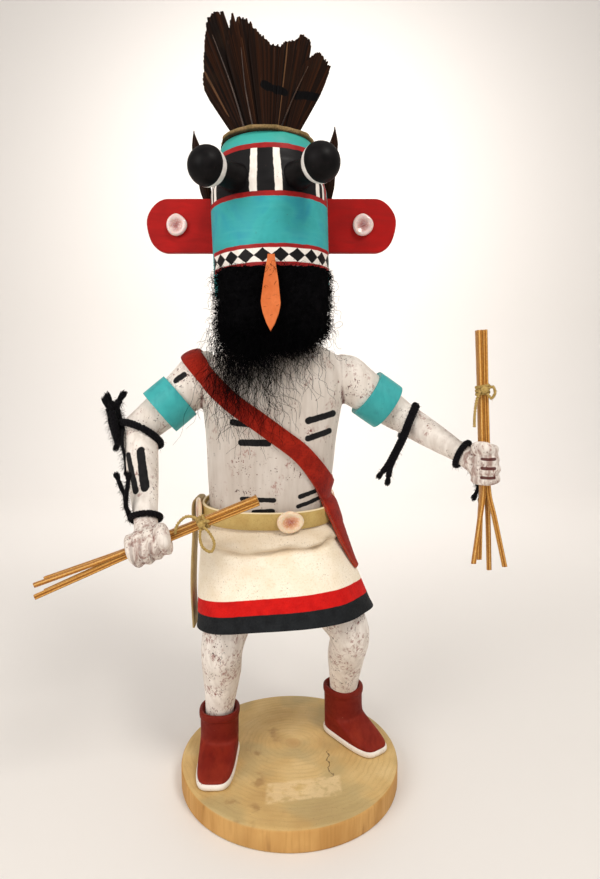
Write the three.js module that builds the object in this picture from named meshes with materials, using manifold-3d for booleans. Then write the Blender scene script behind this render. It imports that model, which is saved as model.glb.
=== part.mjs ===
// Carved wooden kachina doll, painted and dressed, standing on a slice of branch.
// Millimetres, +Z up. The figure faces -Y and its right side is at -X.
// The origin is the centre of the underside of the base.
import * as THREE from "three";
import { mergeVertices } from "three/addons/utils/BufferGeometryUtils.js";
import Module from "manifold-3d";

const wasm = await Module();
wasm.setup();

// Clearance between pieces that touch, and how far a joined skin may be off its true shape
const GAP = 0.3;
const SKIN_TOLERANCE = 0.06;

// Base, a slice of branch
const BASE_RADIUS = 47.5;
const BASE_THICKNESS = 9.5;
const BASE_BEVEL = 0.7;

// Figure heights, measured from the top of the base
const BELT_HEIGHT = 105.2;
const HIP_DROP = 17.2;
const HIP_HEIGHT = BELT_HEIGHT - HIP_DROP;
const WAIST_RISE = 9.8;
const MASK_HEIGHT = 197.5;
const SHOULDER_DROP = 32.5;
const SHOULDER_HEIGHT = MASK_HEIGHT - SHOULDER_DROP;

// Mask, a tapering drum with a slight lean to the figure's right
const MASK_LENGTH = 58.9;
const MASK_RADIUS = 23.5;
const MASK_TOP_RADIUS = 18.4;
const MASK_STRAIGHT = 39;
const MASK_LEAN = THREE.MathUtils.degToRad(-1.8);
const MASK_X = -6.9;
const NECK_RADIUS = 12.5;

// Crown disc of leather and the slot for the fan
const CROWN_RADIUS = 18.8;
const CROWN_THICKNESS = 2;
const FAN_SLOT_WIDTH = 25;
const FAN_SLOT_DEPTH = 6;

// Fan of split feathers
const FEATHER_THICKNESS = 0.8;
const FAN_Y = 4;

// Eyes on stalks
const EYE_RADIUS = 6.9;
const EYE_STALK_RADIUS = 5;
const EYE_REACH = 40;
const EYE_SPREAD = THREE.MathUtils.degToRad(31);
const EYE_HEIGHT = 41.6;

// Ear boards
const EAR_REACH = 51;
const EAR_HEIGHT = 21.5;
const EAR_THICKNESS = 3;
const EAR_LEVEL = 29.5;
const EAR_Y = 3;

// Shell discs
const EAR_SHELL_RADIUS = 4.2;
const EAR_SHELL_INSET = 13;
const BELT_SHELL_RADIUS = 5.4;
const SHELL_THICKNESS = 1.8;

// Tongue of leather
const TONGUE_LENGTH = 29.5;
const TONGUE_WIDTH = 7.2;
const TONGUE_THICKNESS = 1;

// Clothing
const KILT_WALL = 1.3;
const KILT_LENGTH = 44;
const KILT_FLARE = 11;
const BELT_WIDTH = 6.8;
const BELT_THICKNESS = 1.2;
const BANDOLIER_WIDTH = 8.4;
const BANDOLIER_THICKNESS = 1.3;
const SASH_WIDTH = 11;
const SASH_THICKNESS = 1.1;
const SASH_LENGTH = 56;

// Armbands
const ARMBAND_WIDTH = 10.8;
const ARMBAND_THICKNESS = 1.1;
const UPPER_ARM_RADIUS = 8.3;

// Yarn and string
const YARN_RADIUS = 1.2;
const STRING_RADIUS = 0.65;

// Bundles of split straw held in the fists
const STRAW_THICKNESS = 1.5;
const WHIP_TUNNEL_RADIUS = 2.6;

// Arms and what the hands hold, with heights from the shoulders
const fromShoulders = (x, y, z) => [x, y, SHOULDER_HEIGHT + z];
const RIGHT_ARM = {
  shoulder: fromShoulders(-36.5, 0, 0),
  elbow: fromShoulders(-61.2, -6, -21),
  wrist: fromShoulders(-52.6, -34, -52.4),
  elbowRadius: 6.6,
  wristRadius: 4.4,
  grip: 0.502,
  tie: 0.49,
  whipStart: fromShoulders(-89.1, -44, -75.2),
  whipEnd: fromShoulders(-10.8, -38, -44.2),
};
const LEFT_ARM = {
  shoulder: fromShoulders(23.5, 0, 1),
  elbow: fromShoulders(45.6, 3, -15.4),
  wrist: fromShoulders(65.6, -21, -28.6),
  elbowRadius: 6.2,
  wristRadius: 4,
  grip: 0.456,
  tie: 0.56,
  whipStart: fromShoulders(75.4, -30, -73.6),
  whipEnd: fromShoulders(70.4, -30, 17.1),
};

// Legs, with heights from the top of the base
const RIGHT_LEG = { hip: [-19, 0, HIP_HEIGHT], knee: [-27.6, -12.5, 55.5], ankle: [-31, -0.5, 19] };
const LEFT_LEG = { hip: [5, 1, HIP_HEIGHT], knee: [25.2, -3.5, 57.5], ankle: [24.6, 16.5, 18] };
const RIGHT_BOOT_TURN = THREE.MathUtils.degToRad(-3);
const LEFT_BOOT_TURN = THREE.MathUtils.degToRad(33);
const BOOT_LENGTH = 36;
const BOOT_WIDTH = 16.6;

const COLOURS = {
  wood: 0xc9ae7c,
  paint: 0xd9cec8,
  turquoise: 0x35a8a8,
  black: 0x17171a,
  red: 0x8e1b1b,
  shell: 0xe6cfc6,
  olive: 0xb5a678,
  feather: 0x3a2218,
  tongue: 0xd8824c,
  strap: 0x9c2b1c,
  cloth: 0xe2dcd0,
  straw: 0xc8954a,
  string: 0xb89b62,
};

const vec = (x, y, z) => new THREE.Vector3(x, y, z);
const point = (list) => new THREE.Vector3(...list);

// Closed mesh to solid, for joining and cutting
function solid(geometry) {
  const bare = geometry.clone();
  bare.deleteAttribute("normal");
  bare.deleteAttribute("uv");
  const merged = mergeVertices(bare, 1e-4);
  const vertProperties = merged.attributes.position.array;
  const triVerts = new Uint32Array(merged.index.array);
  return new wasm.Manifold(new wasm.Mesh({ numProp: 3, vertProperties, triVerts }));
}

// Solid back to a geometry
function skin(body) {
  const mesh = body.simplify(SKIN_TOLERANCE).getMesh();
  const geometry = new THREE.BufferGeometry();
  geometry.setAttribute("position", new THREE.BufferAttribute(mesh.vertProperties, 3));
  geometry.setIndex(new THREE.BufferAttribute(mesh.triVerts, 1));
  geometry.computeVertexNormals();
  return geometry;
}

const join = (bodies) => bodies.reduce((whole, body) => whole.add(body));

// Smooth values between named stations, at a share of the way along them
function between(stations, share) {
  const values = {};
  for (const key of Object.keys(stations[0])) {
    const curve = new THREE.SplineCurve(stations.map((s, i) => new THREE.Vector2(i, s[key])));
    values[key] = curve.getPoint(share).y;
  }
  return values;
}

// Closed skin over rings of equally many points, counter-clockwise seen from the last ring's end
function loft(rings) {
  const count = rings[0].length;
  const points = rings.flat();
  const index = [];
  for (let r = 0; r + 1 < rings.length; r++) {
    for (let i = 0; i < count; i++) {
      const a = r * count + i;
      const b = r * count + ((i + 1) % count);
      index.push(a, b, b + count, a, b + count, a + count);
    }
  }
  const middle = (ring) => ring.reduce((sum, p) => sum.add(p), vec(0, 0, 0)).divideScalar(count);
  const last = (rings.length - 1) * count;
  points.push(middle(rings[0]), middle(rings[rings.length - 1]));
  for (let i = 0; i < count; i++) {
    const next = (i + 1) % count;
    index.push(points.length - 2, next, i, points.length - 1, last + i, last + next);
  }
  return new THREE.BufferGeometry().setFromPoints(points).setIndex(index);
}

const rounded = (value, power) => Math.sign(value) * Math.abs(value) ** (2 / power);

// Level ring of a rounded oblong, raised by a function of x and y
function oblong({ x, y, wide, deep, power }, height, count) {
  return Array.from({ length: count }, (_, i) => {
    const turn = (2 * Math.PI * i) / count;
    const px = x + wide * rounded(Math.cos(turn), power);
    const py = y + deep * rounded(Math.sin(turn), power);
    return vec(px, py, height(px, py));
  });
}

// Round limb through stations, each with a place and a radius
function limb(stations, grow, steps, sides) {
  const path = new THREE.CatmullRomCurve3(stations.map((s) => point(s.at)));
  const radii = stations.map((s) => ({ radius: s.radius }));
  const rings = [];
  for (let r = 0; r <= steps; r++) {
    const along = path.getTangent(r / steps);
    const across = vec(0, 1, 0).cross(along).normalize();
    const up = along.clone().cross(across);
    const radius = between(radii, r / steps).radius + grow;
    const centre = path.getPoint(r / steps);
    rings.push(
      Array.from({ length: sides }, (_, i) => {
        const turn = (2 * Math.PI * i) / sides;
        const out = across.clone().multiplyScalar(radius * Math.cos(turn));
        return centre.clone().add(out).addScaledVector(up, radius * Math.sin(turn));
      }),
    );
  }
  return solid(loft(rings));
}

function ball(at, size, turn = new THREE.Matrix4(), detail = 8) {
  const geometry = new THREE.SphereGeometry(1, detail, Math.round(detail * 0.6));
  geometry.scale(...size).applyMatrix4(turn);
  return solid(geometry.translate(...at));
}

// Tube of a round cord along points
function tube(points, radius, steps, sides) {
  const path = new THREE.CatmullRomCurve3(points);
  const section = new THREE.Shape().absarc(0, 0, radius, 0, 2 * Math.PI);
  const options = { extrudePath: path, steps, curveSegments: Math.ceil(sides / 2), bevelEnabled: false };
  return new THREE.ExtrudeGeometry(section, options);
}

// Matrix whose axes are the given direction as Z and the nearest to the hint as X
function along(direction, hint) {
  const z = direction.clone().normalize();
  const y = z.clone().cross(hint).normalize();
  return new THREE.Matrix4().makeBasis(y.clone().cross(z), y, z);
}

const doll = new THREE.Group();
const figure = new THREE.Group();
figure.position.z = BASE_THICKNESS + GAP;
doll.add(figure);

function piece(name, geometry, colour, roughness, parent = figure) {
  const material = new THREE.MeshStandardMaterial({ color: colour, roughness, metalness: 0 });
  const mesh = new THREE.Mesh(geometry, material);
  mesh.name = name;
  parent.add(mesh);
  return mesh;
}

// Base
function base() {
  const profile = [
    [0, 0],
    [BASE_RADIUS - BASE_BEVEL, 0],
    [BASE_RADIUS, BASE_BEVEL],
    [BASE_RADIUS, BASE_THICKNESS - BASE_BEVEL],
    [BASE_RADIUS - BASE_BEVEL, BASE_THICKNESS],
    [0, BASE_THICKNESS],
  ];
  const geometry = new THREE.LatheGeometry(profile.map((p) => new THREE.Vector2(...p)), 42);
  piece("base", geometry.rotateX(Math.PI / 2), COLOURS.wood, 0.8, doll);
}

// Trunk from the hips to the neck. A grown copy stands off the body by that distance.
const NECK_TOP = MASK_HEIGHT - GAP;
const NECK_ROOT = NECK_RADIUS + 3;
const SHOULDER_TILT = 0.05;
const NECK_TILT = Math.tan(-MASK_LEAN) / SHOULDER_TILT;
const WAIST_TOP = BELT_HEIGHT + WAIST_RISE;
const chest = (share) => THREE.MathUtils.lerp(WAIST_TOP, SHOULDER_HEIGHT, share);
const TRUNK = [
  { z: HIP_HEIGHT - 12, x: -6, y: 0, wide: 15, deep: 11, lift: 0, tilt: 0 },
  { z: HIP_HEIGHT - 6, x: -7, y: 0, wide: 22, deep: 15.5, lift: 0, tilt: 0 },
  { z: HIP_HEIGHT + 4, x: -9, y: -0.5, wide: 24.6, deep: 17.6, lift: 0, tilt: 0 },
  { z: HIP_HEIGHT + 14, x: -9.2, y: -0.5, wide: 24.6, deep: 18, lift: 0, tilt: 0 },
  { z: WAIST_TOP, x: -9.2, y: -0.5, wide: 24.6, deep: 18, lift: 0, tilt: 0 },
  { z: chest(0.2), x: -8.2, y: -0.3, wide: 26.1, deep: 18.8, lift: 0, tilt: 0 },
  { z: chest(0.5), x: -7.6, y: 0, wide: 27.2, deep: 19.6, lift: 0, tilt: 0.3 },
  { z: chest(0.78), x: -7, y: 0, wide: 29, deep: 19.8, lift: 0, tilt: 0.7 },
  { z: chest(0.98), x: -6.9, y: 0, wide: 30.6, deep: 18.8, lift: 0.3, tilt: 1 },
  { z: SHOULDER_HEIGHT + 6, x: -6.9, y: 0, wide: 28.5, deep: 16.8, lift: 0.8, tilt: 1 },
  { z: SHOULDER_HEIGHT + 11, x: -6.9, y: 0.3, wide: 22, deep: 14.5, lift: 1, tilt: 0.8 },
  { z: SHOULDER_HEIGHT + 15, x: -6.9, y: 0.4, wide: NECK_ROOT, deep: NECK_RADIUS, lift: 0.6, tilt: 0.3 },
  { z: SHOULDER_HEIGHT + 22, x: -6.9, y: 0, wide: NECK_RADIUS, deep: NECK_RADIUS, lift: 0, tilt: 0 },
  { z: NECK_TOP, x: MASK_X, y: 0, wide: NECK_RADIUS, deep: NECK_RADIUS, lift: 0, tilt: NECK_TILT },
];

function trunk(grow) {
  const steps = 14;
  const rings = [];
  for (let r = 0; r <= steps; r++) {
    const s = between(TRUNK, r / steps);
    const section = { x: s.x, y: s.y, wide: s.wide + grow, deep: s.deep + grow, power: 2.3 };
    const height = (x) => s.z + s.lift * grow + s.tilt * SHOULDER_TILT * (x - s.x);
    rings.push(oblong(section, height, 20));
  }
  return solid(loft(rings));
}

// Upper arms are straight round cones, so that bands fit them
function upperArm(arm, grow) {
  const from = point(arm.shoulder);
  const to = point(arm.elbow);
  const at = (share) => from.clone().lerp(to, share).toArray();
  const stations = [
    { at: at(-0.28), radius: UPPER_ARM_RADIUS - 1.5 },
    { at: at(-0.05), radius: UPPER_ARM_RADIUS + 2.2 },
    { at: at(0.25), radius: UPPER_ARM_RADIUS + 1.2 },
    { at: at(0.5), radius: UPPER_ARM_RADIUS },
    { at: at(0.8), radius: UPPER_ARM_RADIUS - 0.8 },
    { at: at(1.1), radius: 6.6 },
  ];
  return limb(stations, grow, 5, 10);
}

const FOREARM_SHARES = [-0.12, 0.06, 0.4, 0.75, 1, 1.25];
const FOREARM_RADII = [0.2, 1, 0.85, 0.4, 0, 0.15];
function forearm(arm) {
  const stations = FOREARM_SHARES.map((share, i) => ({
    at: point(arm.elbow).lerp(point(arm.wrist), share).toArray(),
    radius: THREE.MathUtils.lerp(arm.wristRadius, arm.elbowRadius, FOREARM_RADII[i]),
  }));
  const joint = arm.elbowRadius + 0.5;
  return join([limb(stations, 0, 5, 10), ball(arm.elbow, [joint, joint, joint])]);
}

const gripOf = (arm) => point(arm.whipStart).lerp(point(arm.whipEnd), arm.grip);

// Fist of four curled fingers, a thumb and the back of the hand, closed round a tunnel
const FINGER_PITCH = 3.8;
function fist(arm) {
  const whip = point(arm.whipEnd).sub(point(arm.whipStart));
  const reach = gripOf(arm).sub(point(arm.wrist));
  const frame = along(whip, reach);
  const place = (x, y, z) => vec(x, y, z).applyMatrix4(frame).add(gripOf(arm)).toArray();
  const parts = [ball(place(-1.5, 0.6, 0), [6.4, 5.6, 7.6], frame)];
  for (let i = 0; i < 4; i++) {
    const level = (i - 1.5) * FINGER_PITCH;
    const size = 1 - 0.05 * Math.abs(i - 1);
    parts.push(ball(place(1.2, -0.4, level), [7 * size, 6.4 * size, 2.45], frame));
  }
  parts.push(ball(place(1.5, -4.2, 6.6), [5.2, 3, 2.6], frame));
  const tunnel = tube([-12, 0, 12].map((z) => point(place(0, 0, z))), WHIP_TUNNEL_RADIUS, 2, 10);
  return { hand: join(parts), tunnel: solid(tunnel) };
}

function leg({ hip, knee, ankle }) {
  const [h, k, a] = [hip, knee, ankle].map(point);
  const mix = (p, q, share, y) => p.clone().lerp(q, share).add(vec(0, y, 0)).toArray();
  const stations = [
    { at: h.toArray(), radius: 12.6 },
    { at: mix(h, k, 0.5, -0.5), radius: 10.8 },
    { at: k.toArray(), radius: 8.8 },
    { at: mix(k, a, 0.4, 1), radius: 8.2 },
    { at: mix(k, a, 0.72, 0.8), radius: 6.9 },
    { at: a.toArray(), radius: 6.1 },
    { at: a.clone().add(vec(0, 0, -9)).toArray(), radius: 6.1 },
  ];
  return limb(stations, 0, 8, 11);
}

// Boot with a flat sole, a low instep and a cuff that dips in front
const CUFF_HEIGHT = 24.5;
const CUFF_DIP = 0.42;
function boot(ankle, turn) {
  const half = BOOT_LENGTH / 2;
  const stations = [
    { z: 0, back: 8.6, front: half * 1.48, wide: BOOT_WIDTH / 2, dip: 0 },
    { z: 1.7, back: 8.7, front: half * 1.5, wide: BOOT_WIDTH / 2, dip: 0 },
    { z: 1.9, back: 8, front: half * 1.45, wide: BOOT_WIDTH / 2 - 0.6, dip: 0 },
    { z: 4.4, back: 7.9, front: half * 1.36, wide: BOOT_WIDTH / 2 - 0.8, dip: 0 },
    { z: 6.8, back: 7.6, front: half * 1.05, wide: BOOT_WIDTH / 2 - 1.1, dip: 0 },
    { z: 9.4, back: 7.3, front: half * 0.68, wide: BOOT_WIDTH / 2 - 1.3, dip: 0.05 },
    { z: 13, back: 7.1, front: half * 0.44, wide: 7, dip: 0.12 },
    { z: 18.2, back: 7.4, front: half * 0.42, wide: 7.2, dip: 0.36 },
    { z: 18.5, back: 8.3, front: half * 0.46, wide: 8.1, dip: 0.38 },
    { z: CUFF_HEIGHT - 0.6, back: 8.7, front: half * 0.48, wide: 8.5, dip: CUFF_DIP },
    { z: CUFF_HEIGHT, back: 8.3, front: half * 0.46, wide: 8.1, dip: CUFF_DIP },
  ];
  const rings = stations.map(({ z, back, front, wide, dip }) => {
    const section = { x: 0, y: (back - front) / 2, wide, deep: (back + front) / 2, power: 2.5 };
    return oblong(section, (x, y) => z + dip * y, 14);
  });
  const geometry = loft(rings).rotateZ(turn).translate(ankle[0], ankle[1], 0);
  return solid(geometry);
}

function carvedBody() {
  const right = fist(RIGHT_ARM);
  const left = fist(LEFT_ARM);
  const whole = join([
    trunk(0),
    upperArm(RIGHT_ARM, 0),
    upperArm(LEFT_ARM, 0),
    forearm(RIGHT_ARM),
    forearm(LEFT_ARM),
    right.hand,
    left.hand,
    leg(RIGHT_LEG),
    leg(LEFT_LEG),
    boot(RIGHT_LEG.ankle, RIGHT_BOOT_TURN),
    boot(LEFT_LEG.ankle, LEFT_BOOT_TURN),
  ]);
  const body = whole.subtract(right.tunnel).subtract(left.tunnel);
  piece("carved_body", skin(body), COLOURS.paint, 0.85);
}

// Mask drum. A grown copy stands off it by that distance.
function drum(grow) {
  const bottom = -grow;
  const top = MASK_LENGTH + grow;
  const profile = [
    [0, bottom],
    [MASK_RADIUS - 1.2 + grow, bottom],
    [MASK_RADIUS - 0.3 + grow, 1.5],
    [MASK_RADIUS + grow, 6],
    [MASK_RADIUS + grow, MASK_STRAIGHT],
    [MASK_TOP_RADIUS + 3.2 + grow, MASK_STRAIGHT + 9],
    [MASK_TOP_RADIUS + 0.9 + grow, MASK_LENGTH - 3],
    [MASK_TOP_RADIUS - 0.6 + grow, top],
    [0, top],
  ];
  const geometry = new THREE.LatheGeometry(profile.map((p) => new THREE.Vector2(...p)), 32);
  return solid(geometry.rotateX(Math.PI / 2));
}

const head = new THREE.Group();
head.position.set(MASK_X, 0, MASK_HEIGHT);
head.rotation.y = MASK_LEAN;
figure.add(head);
head.updateMatrix();

const CROWN_BASE = MASK_LENGTH + GAP;
const CROWN_TOP = CROWN_BASE + CROWN_THICKNESS;
const FEATHERS = 5;
const FEATHER_STEP = FEATHER_THICKNESS + GAP;
const FAN_DEPTH = FEATHERS * FEATHER_STEP + 1.6;

function fanSlot(from, to) {
  const geometry = new THREE.BoxGeometry(FAN_SLOT_WIDTH, FAN_DEPTH, to - from);
  return solid(geometry.translate(0, FAN_Y, (from + to) / 2));
}

function mask() {
  const slot = fanSlot(MASK_LENGTH - FAN_SLOT_DEPTH, MASK_LENGTH + 5);
  piece("case_mask", skin(drum(0).subtract(slot)), COLOURS.turquoise, 0.6, head);
}

function crown() {
  const outline = Array.from({ length: 30 }, (_, i) => {
    const turn = (2 * Math.PI * i) / 30;
    const radius = CROWN_RADIUS + 0.35 * Math.sin(3 * turn + 1) + 0.25 * Math.sin(7 * turn);
    return new THREE.Vector2(radius * Math.cos(turn), radius * Math.sin(turn));
  });
  const options = { depth: CROWN_THICKNESS, bevelEnabled: false };
  const disc = new THREE.ExtrudeGeometry(new THREE.Shape(outline), options).translate(0, 0, CROWN_BASE);
  const slot = fanSlot(CROWN_BASE - 5, CROWN_TOP + 5);
  piece("crown_leather", skin(solid(disc).subtract(slot)), COLOURS.olive, 0.95, head);
}

// The fan stands upright on the leaning mask
const FAN_TILT = Math.tan(-MASK_LEAN);

// Feathers of the fan: middle and width of the foot, and the rim, across and up from the crown
const FAN_BLADES = [
  {
    foot: [-7.5, 5],
    left: [[-12.2, 12], [-26.4, 24], [-27.6, 33], [-26, 42]],
    tip: [[-25, 49], [-21.6, 52], [-18.6, 51]],
    right: [[-17.4, 41], [-7.2, 16]],
  },
  {
    foot: [-3.5, 4.4],
    left: [[-6.6, 16], [-17.6, 40]],
    tip: [[-11.6, 49.6], [-7.2, 47]],
    right: [[-6.4, 41], [-5, 26]],
  },
  {
    foot: [1, 5.4],
    left: [[-4.6, 14], [-6.8, 45.6]],
    tip: [[-1.6, 41], [1.4, 38.6], [8, 39]],
    right: [[8.6, 34], [5, 14]],
  },
  {
    foot: [4.8, 4.4],
    left: [[4.4, 10], [8.2, 38.8]],
    tip: [[11.8, 39.2], [13.2, 41.6], [15.6, 40]],
    right: [[16.4, 37], [14, 33], [9.6, 14]],
  },
  {
    foot: [8.2, 4],
    left: [[7.6, 9], [14.6, 32]],
    tip: [[18.4, 35.2], [22.6, 31], [24.4, 28.6]],
    right: [[20.4, 19.4], [11.6, 7]],
  },
];

function fan() {
  const bottom = CROWN_TOP - CROWN_THICKNESS - FAN_SLOT_DEPTH + 2 * GAP;
  FAN_BLADES.forEach(({ foot, left, tip, right }, i) => {
    const [middle, width] = foot;
    const quill = Math.min(width / 2, FAN_SLOT_WIDTH / 2 - GAP - Math.abs(middle));
    const corners = [[middle - quill, bottom], [middle + quill, bottom], [middle + quill, CROWN_TOP]];
    const edge = [...left, ...tip, ...right];
    const rim = edge.map(([x, z]) => [x + z * FAN_TILT, z + CROWN_TOP]).reverse();
    const shape = new THREE.Shape();
    shape.moveTo(...corners[0]);
    shape.lineTo(...corners[1]);
    shape.lineTo(...corners[2]);
    shape.splineThru(rim.map((p) => new THREE.Vector2(...p)));
    shape.lineTo(middle - quill, CROWN_TOP);
    const options = { depth: FEATHER_THICKNESS, bevelEnabled: false, curveSegments: 2 };
    const geometry = new THREE.ExtrudeGeometry(shape, options);
    const layer = (i - (FEATHERS - 1) / 2) * FEATHER_STEP;
    geometry.rotateX(Math.PI / 2).translate(0, FAN_Y + FEATHER_THICKNESS / 2 - layer, 0);
    piece("fan_feather_" + (i + 1), geometry, COLOURS.feather, 0.7, head);
  });
}

// Short dark feathers standing behind the ear boards
const SIDE_FEATHER_LENGTH = 34;
const SIDE_FEATHER_WIDTH = 5.2;
const SIDE_FEATHER_FOOT = EAR_LEVEL + 5;
function sideFeather(name, side, tilt) {
  const half = SIDE_FEATHER_WIDTH / 2;
  const high = SIDE_FEATHER_LENGTH;
  const shape = new THREE.Shape();
  shape.moveTo(-0.8, 0).lineTo(0.8, 0).lineTo(half, high * 0.35);
  shape.quadraticCurveTo(half, high * 0.8, 0.3 * half, high);
  shape.quadraticCurveTo(-half, high * 0.75, -half, high * 0.35);
  const options = { depth: FEATHER_THICKNESS, bevelEnabled: false, curveSegments: 4 };
  const geometry = new THREE.ExtrudeGeometry(shape, options).rotateX(Math.PI / 2);
  const mesh = piece(name, geometry, COLOURS.feather, 0.7, head);
  const y = EAR_Y + EAR_THICKNESS / 2 + GAP + FEATHER_THICKNESS;
  mesh.position.set(side * (Math.sqrt(MASK_RADIUS ** 2 - y ** 2) + GAP + 1.2), y, SIDE_FEATHER_FOOT);
  mesh.rotation.y = side * THREE.MathUtils.degToRad(tilt);
}

// Ball eye, its white ring and its stalk are one turned piece
function eye(name, side) {
  const surface = MASK_RADIUS - 2.2;
  const neck = Math.PI - Math.asin(EYE_STALK_RADIUS / EYE_RADIUS);
  const steps = 7;
  const ballProfile = Array.from({ length: steps + 1 }, (_, i) => {
    const turn = neck * (1 - i / steps);
    return [EYE_RADIUS * Math.sin(turn), EYE_REACH + EYE_RADIUS * Math.cos(turn)];
  });
  const profile = [
    [0, surface - 6],
    [EYE_STALK_RADIUS + 1.6, surface - 6],
    [EYE_STALK_RADIUS + 0.8, surface + 3],
    ...ballProfile,
  ];
  const turned = new THREE.LatheGeometry(profile.map((p) => new THREE.Vector2(...p)), 16);
  const out = new THREE.Vector3(side * Math.sin(EYE_SPREAD), -Math.cos(EYE_SPREAD), 0);
  const body = solid(turned.rotateX(Math.PI / 2).applyMatrix4(along(out, vec(0, 0, 1))));
  const geometry = skin(body.subtract(drum(GAP).translate([0, 0, -EYE_HEIGHT])));
  piece(name, geometry, COLOURS.black, 0.55, head).position.z = EYE_HEIGHT;
}

// Ear board with a round outer end, fitted to the drum
function ear(name, side) {
  const half = EAR_HEIGHT / 2;
  const end = EAR_REACH - half * 0.82;
  const shape = new THREE.Shape();
  shape.moveTo(0, -half);
  shape.lineTo(end, -half);
  shape.ellipse(0, half, half * 0.82, half, -Math.PI / 2, Math.PI / 2);
  shape.lineTo(0, half);
  const options = { depth: EAR_THICKNESS, bevelEnabled: false, curveSegments: 10 };
  const board = new THREE.ExtrudeGeometry(shape, options).translate(0, 0, -EAR_THICKNESS / 2);
  board.rotateX(Math.PI / 2);
  if (side < 0) board.rotateZ(Math.PI);
  const body = solid(board.translate(0, EAR_Y, EAR_LEVEL)).subtract(drum(GAP));
  piece(name, skin(body), COLOURS.red, 0.6, head);
}

// Shell disc with a dished face towards its own +Z
function shellGeometry(radius) {
  const profile = [
    [0, 0],
    [radius * 0.86, 0],
    [radius, SHELL_THICKNESS * 0.5],
    [radius * 0.8, SHELL_THICKNESS],
    [radius * 0.3, SHELL_THICKNESS * 0.7],
    [0, SHELL_THICKNESS * 0.6],
  ];
  const turned = new THREE.LatheGeometry(profile.map((p) => new THREE.Vector2(...p)), 12);
  return turned.rotateX(Math.PI / 2);
}

function shell(name, radius, at, facing, parent = figure) {
  const mesh = piece(name, shellGeometry(radius), COLOURS.shell, 0.35, parent);
  mesh.position.copy(at);
  mesh.quaternion.setFromUnitVectors(vec(0, 0, 1), facing.clone().normalize());
}

function earShells() {
  const y = EAR_Y - EAR_THICKNESS / 2 - GAP;
  const x = EAR_REACH - EAR_SHELL_INSET;
  shell("ear_shell_right", EAR_SHELL_RADIUS, vec(-x - 0.6, y, EAR_LEVEL), vec(0, -1, 0), head);
  shell("ear_shell_left", EAR_SHELL_RADIUS, vec(x - 0.6, y, EAR_LEVEL), vec(0, -1, 0), head);
}

// Beard of fur under the mask
const BEARD_TOP = 6.2;
const BEARD = [
  { z: BEARD_TOP, y: -12, wide: 21, deep: 14 },
  { z: 3, y: -12.6, wide: 22.4, deep: 14.2 },
  { z: -4, y: -14, wide: 23, deep: 14.2 },
  { z: -10, y: -15.6, wide: 22.8, deep: 13.6 },
  { z: -16, y: -17, wide: 22, deep: 12.6 },
  { z: -22, y: -18, wide: 19.5, deep: 10.6 },
  { z: -26, y: -18.6, wide: 14.5, deep: 8 },
  { z: -29, y: -19, wide: 7, deep: 4.6 },
];

function beard() {
  const steps = 7;
  const rings = [];
  for (let r = steps; r >= 0; r--) {
    const s = between(BEARD, r / steps);
    const section = { x: MASK_X + 0.4, y: s.y, wide: s.wide, deep: s.deep, power: 2.5 };
    rings.push(oblong(section, () => MASK_HEIGHT + s.z, 18));
  }
  const inside = drum(GAP).transform(head.matrix.elements).add(trunk(GAP));
  const parts = solid(loft(rings)).subtract(inside).decompose();
  const largest = parts.reduce((a, b) => (a.volume() > b.volume() ? a : b));
  piece("beard", skin(largest), COLOURS.black, 1);
}

// Tongue, hanging from the teeth band in front of the beard
const TONGUE_TOP = MASK_HEIGHT + 12.5;
const TONGUE_FRONT = 25;
const TONGUE_SLOPE = THREE.MathUtils.degToRad(15);
function tongue() {
  const half = TONGUE_WIDTH / 2;
  const outline = [
    [-1.5, 0],
    [-2, -TONGUE_LENGTH * 0.14],
    [-half, -TONGUE_LENGTH * 0.63],
    [-half * 0.86, -TONGUE_LENGTH * 0.74],
    [0, -TONGUE_LENGTH],
    [half * 0.86, -TONGUE_LENGTH * 0.76],
    [half, -TONGUE_LENGTH * 0.64],
    [2, -TONGUE_LENGTH * 0.14],
    [1.5, 0],
  ];
  const shape = new THREE.Shape(outline.map((p) => new THREE.Vector2(...p)));
  const options = { depth: TONGUE_THICKNESS, bevelEnabled: false };
  const geometry = new THREE.ExtrudeGeometry(shape, options).rotateX(Math.PI / 2);
  const mesh = piece("tongue", geometry, COLOURS.tongue, 0.8);
  mesh.position.set(MASK_X + 0.7, -TONGUE_FRONT, TONGUE_TOP);
  mesh.rotation.x = -TONGUE_SLOPE;
}

// Kilt, a flared wrap with an edge that is lower at the figure's right and at the back
const BELT_SLOPE = 0.07;
const HEM_SIDE_SLOPE = 0.1;
const HEM_FRONT_SLOPE = 0.15;
const KILT_TOP = BELT_HEIGHT + BELT_WIDTH - 1.5;
const waist = TRUNK[3];
const waistAt = (grow) => ({ wide: waist.wide + grow, deep: waist.deep + grow });
const beltPlane = (height) => (x, y) => height + BELT_SLOPE * (y + 22);
const hemPlane = (x, y) => BELT_HEIGHT + 3 - KILT_LENGTH + HEM_SIDE_SLOPE * (x + 2) - HEM_FRONT_SLOPE * y;
const KILT_OUT = GAP + KILT_WALL;
const KILT_HIP = 0.14;
const KILT_HEM = { x: -2.5, y: -2 };
const FOLDS = 5;
const FOLD_DEPTH = 0.8;

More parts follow.
